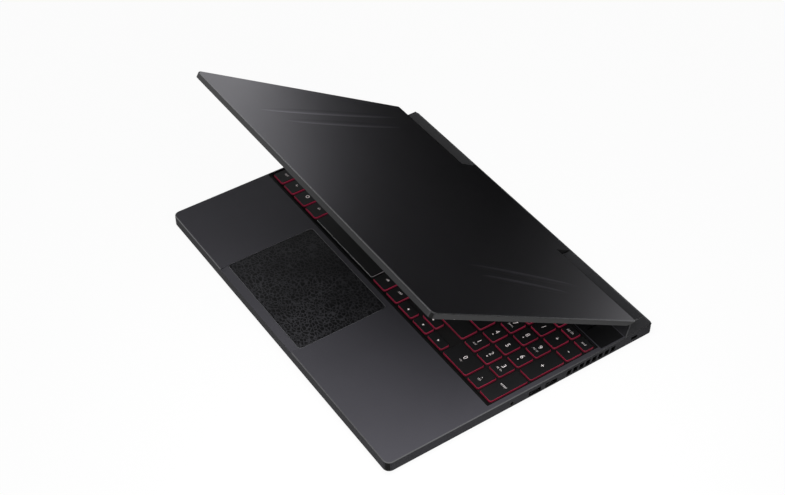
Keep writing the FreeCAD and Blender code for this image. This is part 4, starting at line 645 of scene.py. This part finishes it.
def add_keys(materials):
    """Rounded caps and legends in place of every key node."""
    top = materials["key_plastic"]
    for name, labels in LEGENDS.items():
        boxes = islands(frame["nodes"][name])
        if len(boxes) != len(labels):
            raise ValueError(f"{name}: {len(boxes)} keys, {len(labels)} legends")
        caps = bmesh.new()
        legends = bmesh.new()
        for (low, high), label in zip(boxes, labels):
            add_cap(caps, low, high)
            add_legend(legends, label, low, high)
        # The space bar's rim glows grey: a painted highlight
        if name == "space_bar":
            finishes = (top, top, materials["glowing_rim_highlight"])
        else:
            finishes = (top, materials["key_side"], materials["key_rim"])
        add_piece(f"{name}_caps", caps, finishes, name, (name,))
        if len(legends.faces):
            add_piece(f"{name}_legends", legends, (materials["key_legend"],), name)
        else:
            legends.free()


def deck_height():
    """Height of the deck, in millimetres."""
    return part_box("top_case")[1][2] / MM


def add_touchpad_bevel(materials):
    """A bevel round the opening of the touchpad, in a brighter metal that paints a highlight on it."""
    low, high = islands(frame["nodes"]["touchpad"])[0]
    shape = bmesh.new()
    rings = [add_ring(shape, outline(low, high, -out, BEVEL_CORNER, BEVEL_CORNER_STEPS, high.z + rise))
             for out, rise in BEVEL_SECTION]
    add_closed_bands(shape, rings)
    add_piece("touchpad_bevel", shape, (materials["lid_edge_highlight"],), "base")


def add_keyboard_shade_band(materials):
    """A thin dark band on the deck round the opening of the keyboard: painted shade of the gap below."""
    low, high = [Vector(corner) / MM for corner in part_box("keyboard_plate")]
    low, high = low + PLATE_UNDER, high - PLATE_UNDER
    bottom, top = deck_height() - SHADE_BAND_DEPTH, deck_height() + SHADE_BAND_LIFT
    shape = bmesh.new()
    rings = []
    for out, z in ((0, bottom), (0, top), (1, top), (1, bottom)):
        left, front, right, rear = [out * width for width in SHADE_BAND_WIDTHS]
        x0, x1 = low.x - left, high.x + right
        y0, y1 = low.y - front, high.y + rear
        rings.append(add_ring(shape, [(x0, y0, z), (x1, y0, z), (x1, y1, z), (x0, y1, z)]))
    add_closed_bands(shape, rings)
    add_piece("keyboard_shade_band", shape, (materials["recess"],), "base")


def is_ridge(edge, deck):
    """Whether an edge is long and sharp, starts no lower than the deck and rises clear of it."""
    if len(edge.link_faces) != 2 or not edge.is_convex or edge.calc_length() < EDGE_LENGTH * MM:
        return False
    heights = [vert.co.z for vert in edge.verts]
    return (edge.calc_face_angle() >= math.radians(EDGE_ANGLE)
            and min(heights) >= (deck - EDGE_LIFT) * MM
            and max(heights) >= (deck + EDGE_LENGTH) * MM)


def add_edges(name, materials):
    """Softly rounded edges along the outer ridges of a shell that stands on the deck, in a brighter metal
    that paints a highlight on them.
    """
    deck = deck_height()
    shell = bmesh.new()
    shell.from_mesh(frame["nodes"][name].data)
    bmesh.ops.remove_doubles(shell, verts=shell.verts, dist=WELD)
    shape = bmesh.new()
    for edge in shell.edges:
        if not is_ridge(edge, deck):
            continue
        ends = [vert.co / MM for vert in edge.verts]
        along = (ends[1] - ends[0]).normalized()
        sides = []
        for face in edge.link_faces:
            across = face.normal.cross(along)
            if across.dot(face.calc_center_median() / MM - ends[0]) < 0:
                across.negate()
            sides.append(across * EDGE_WIDTH + face.normal * EDGE_LIFT)
        out = (edge.link_faces[0].normal + edge.link_faces[1].normal).normalized()
        section = [sides[0], out * EDGE_LIFT, sides[1], -out * EDGE_DEPTH]
        rings = [add_ring(shape, [end + step for step in section]) for end in ends]
        add_band(shape, *rings)
        for ring in rings:
            shape.faces.new(ring)
    bmesh.ops.recalc_face_normals(shape, faces=shape.faces)
    shell.free()
    add_piece(f"{name}_edges", shape, (materials["cover_edge_highlight"],), "base")


def facing(back):
    """The turn of a camera or lamp whose back looks in a direction."""
    return back.to_track_quat("Z", "Y").to_euler()


def add_camera():
    """The camera at the photograph's angle."""
    camera = bpy.data.cameras.new("camera")
    camera.sensor_width = SENSOR_WIDTH
    camera.lens = LENS
    camera.clip_start = CLIP_START
    camera.clip_end = CLIP_END
    holder = add_object("camera", camera)
    holder.location = CAMERA_PLACE
    azimuth, elevation = math.radians(CAMERA_AZIMUTH), math.radians(CAMERA_ELEVATION)
    back = Vector((math.sin(azimuth) * math.cos(elevation), -math.cos(azimuth) * math.cos(elevation),
                   math.sin(elevation)))
    holder.rotation_euler = facing(back)
    bpy.context.scene.camera = holder


def seen_directly(tree):
    """One for rays from the camera and for mirror and see-through rays, else nothing."""
    path = shader_node(tree, "ShaderNodeLightPath").outputs
    mirrored = maths(tree, "ADD", path["Is Camera Ray"], path["Is Glossy Ray"], clamp=True)
    return maths(tree, "ADD", mirrored, path["Is Transmission Ray"], clamp=True)


def add_floor():
    """A plain white floor that keeps the shadow."""
    material, tree, shader = new_material("floor_white", Base_Color=FLOOR_COLOUR, Roughness=0.9,
                                          Specular_IOR_Level=0.0)
    white = shader_node(tree, "ShaderNodeEmission", {"Color": WHITE, "Strength": 1.0})
    share = maths(tree, "MULTIPLY", seen_directly(tree), FLOOR_WHITE)
    mix = shader_node(tree, "ShaderNodeMixShader",
                      {0: share, 1: shader.outputs["BSDF"], 2: white.outputs["Emission"]})
    tree.links.new(mix.outputs["Shader"], tree.nodes["Material Output"].inputs["Surface"])
    half = FLOOR_SIZE / 2
    mesh = bpy.data.meshes.new("floor")
    mesh.from_pydata([(-half, -half, 0), (half, -half, 0), (half, half, 0), (-half, half, 0)], [],
                     [(0, 1, 2, 3)])
    mesh.materials.append(material)
    floor = add_object("floor", mesh)


def add_world():
    """An even white surrounding, softer as a light than as a background."""
    world = bpy.data.worlds.new("studio")
    bpy.context.scene.world = world
    world.use_nodes = True
    tree = world.node_tree
    background = tree.nodes["Background"]
    background.inputs["Color"].default_value = WHITE
    tree.links.new(between(tree, seen_directly(tree), AMBIENT, 1.0), background.inputs["Strength"])


def add_soft_box(name, place_at, look_at, side, power):
    """A square soft light turned to a point, which doesn't show in glossy surfaces."""
    light = bpy.data.lights.new(name, "AREA")
    light.shape = "SQUARE"
    light.size = side
    light.energy = power
    holder = add_object(name, light)
    holder.location = place_at
    holder.rotation_euler = facing(Vector(place_at) - Vector(look_at))
    holder.visible_camera = False
    holder.visible_glossy = False


def graded_cloth(direction, stops):
    """Dark cloth that pales along a direction."""
    material, tree, shader = new_material("graded_cloth", Base_Color=(*CLOTH, 1), Roughness=CLOTH_ROUGH,
                                          Specular_IOR_Level=0.0, Emission_Strength=1.0)
    along = shader_node(tree, "ShaderNodeVectorMath", {0: place(tree), 1: direction},
                        operation="DOT_PRODUCT")
    paling = ramp(tree, along.outputs["Value"], [(at, (level, level, level)) for at, level in stops])
    tree.links.new(paling, shader.inputs["Emission Color"])
    return material


def add_flag(name, corners, cloth):
    """A card that only mirrors in glossy surfaces."""
    mesh = bpy.data.meshes.new(name)
    mesh.from_pydata(corners, [], [tuple(range(len(corners)))])
    mesh.materials.append(cloth)
    card = add_object(name, mesh)
    card.visible_camera = False
    card.visible_diffuse = False
    card.visible_shadow = False


materials = all_materials()
dress_nodes(materials)
paint_case("top_case", DECK_FINISHES, materials, inlay="rear_deck_panel")
paint_case("lid_cover", LID_FINISHES, materials, LID_ANGLE)
add_touchpad_bevel(materials)
add_keyboard_shade_band(materials)
add_edges("rear_cover", materials)
add_keys(materials)
add_camera()
add_floor()
add_world()
for name, lamp in SOFT_BOXES.items():
    add_soft_box(name, *lamp)
for name, corners in FLAGS.items():
    add_flag(name, corners, materials["flag_cloth"])
add_flag("floor_flag", FLOOR_FLAG, graded_cloth(PALING_DIRECTION, PALING_STOPS))

bpy.context.scene.view_settings.view_transform = "Standard"
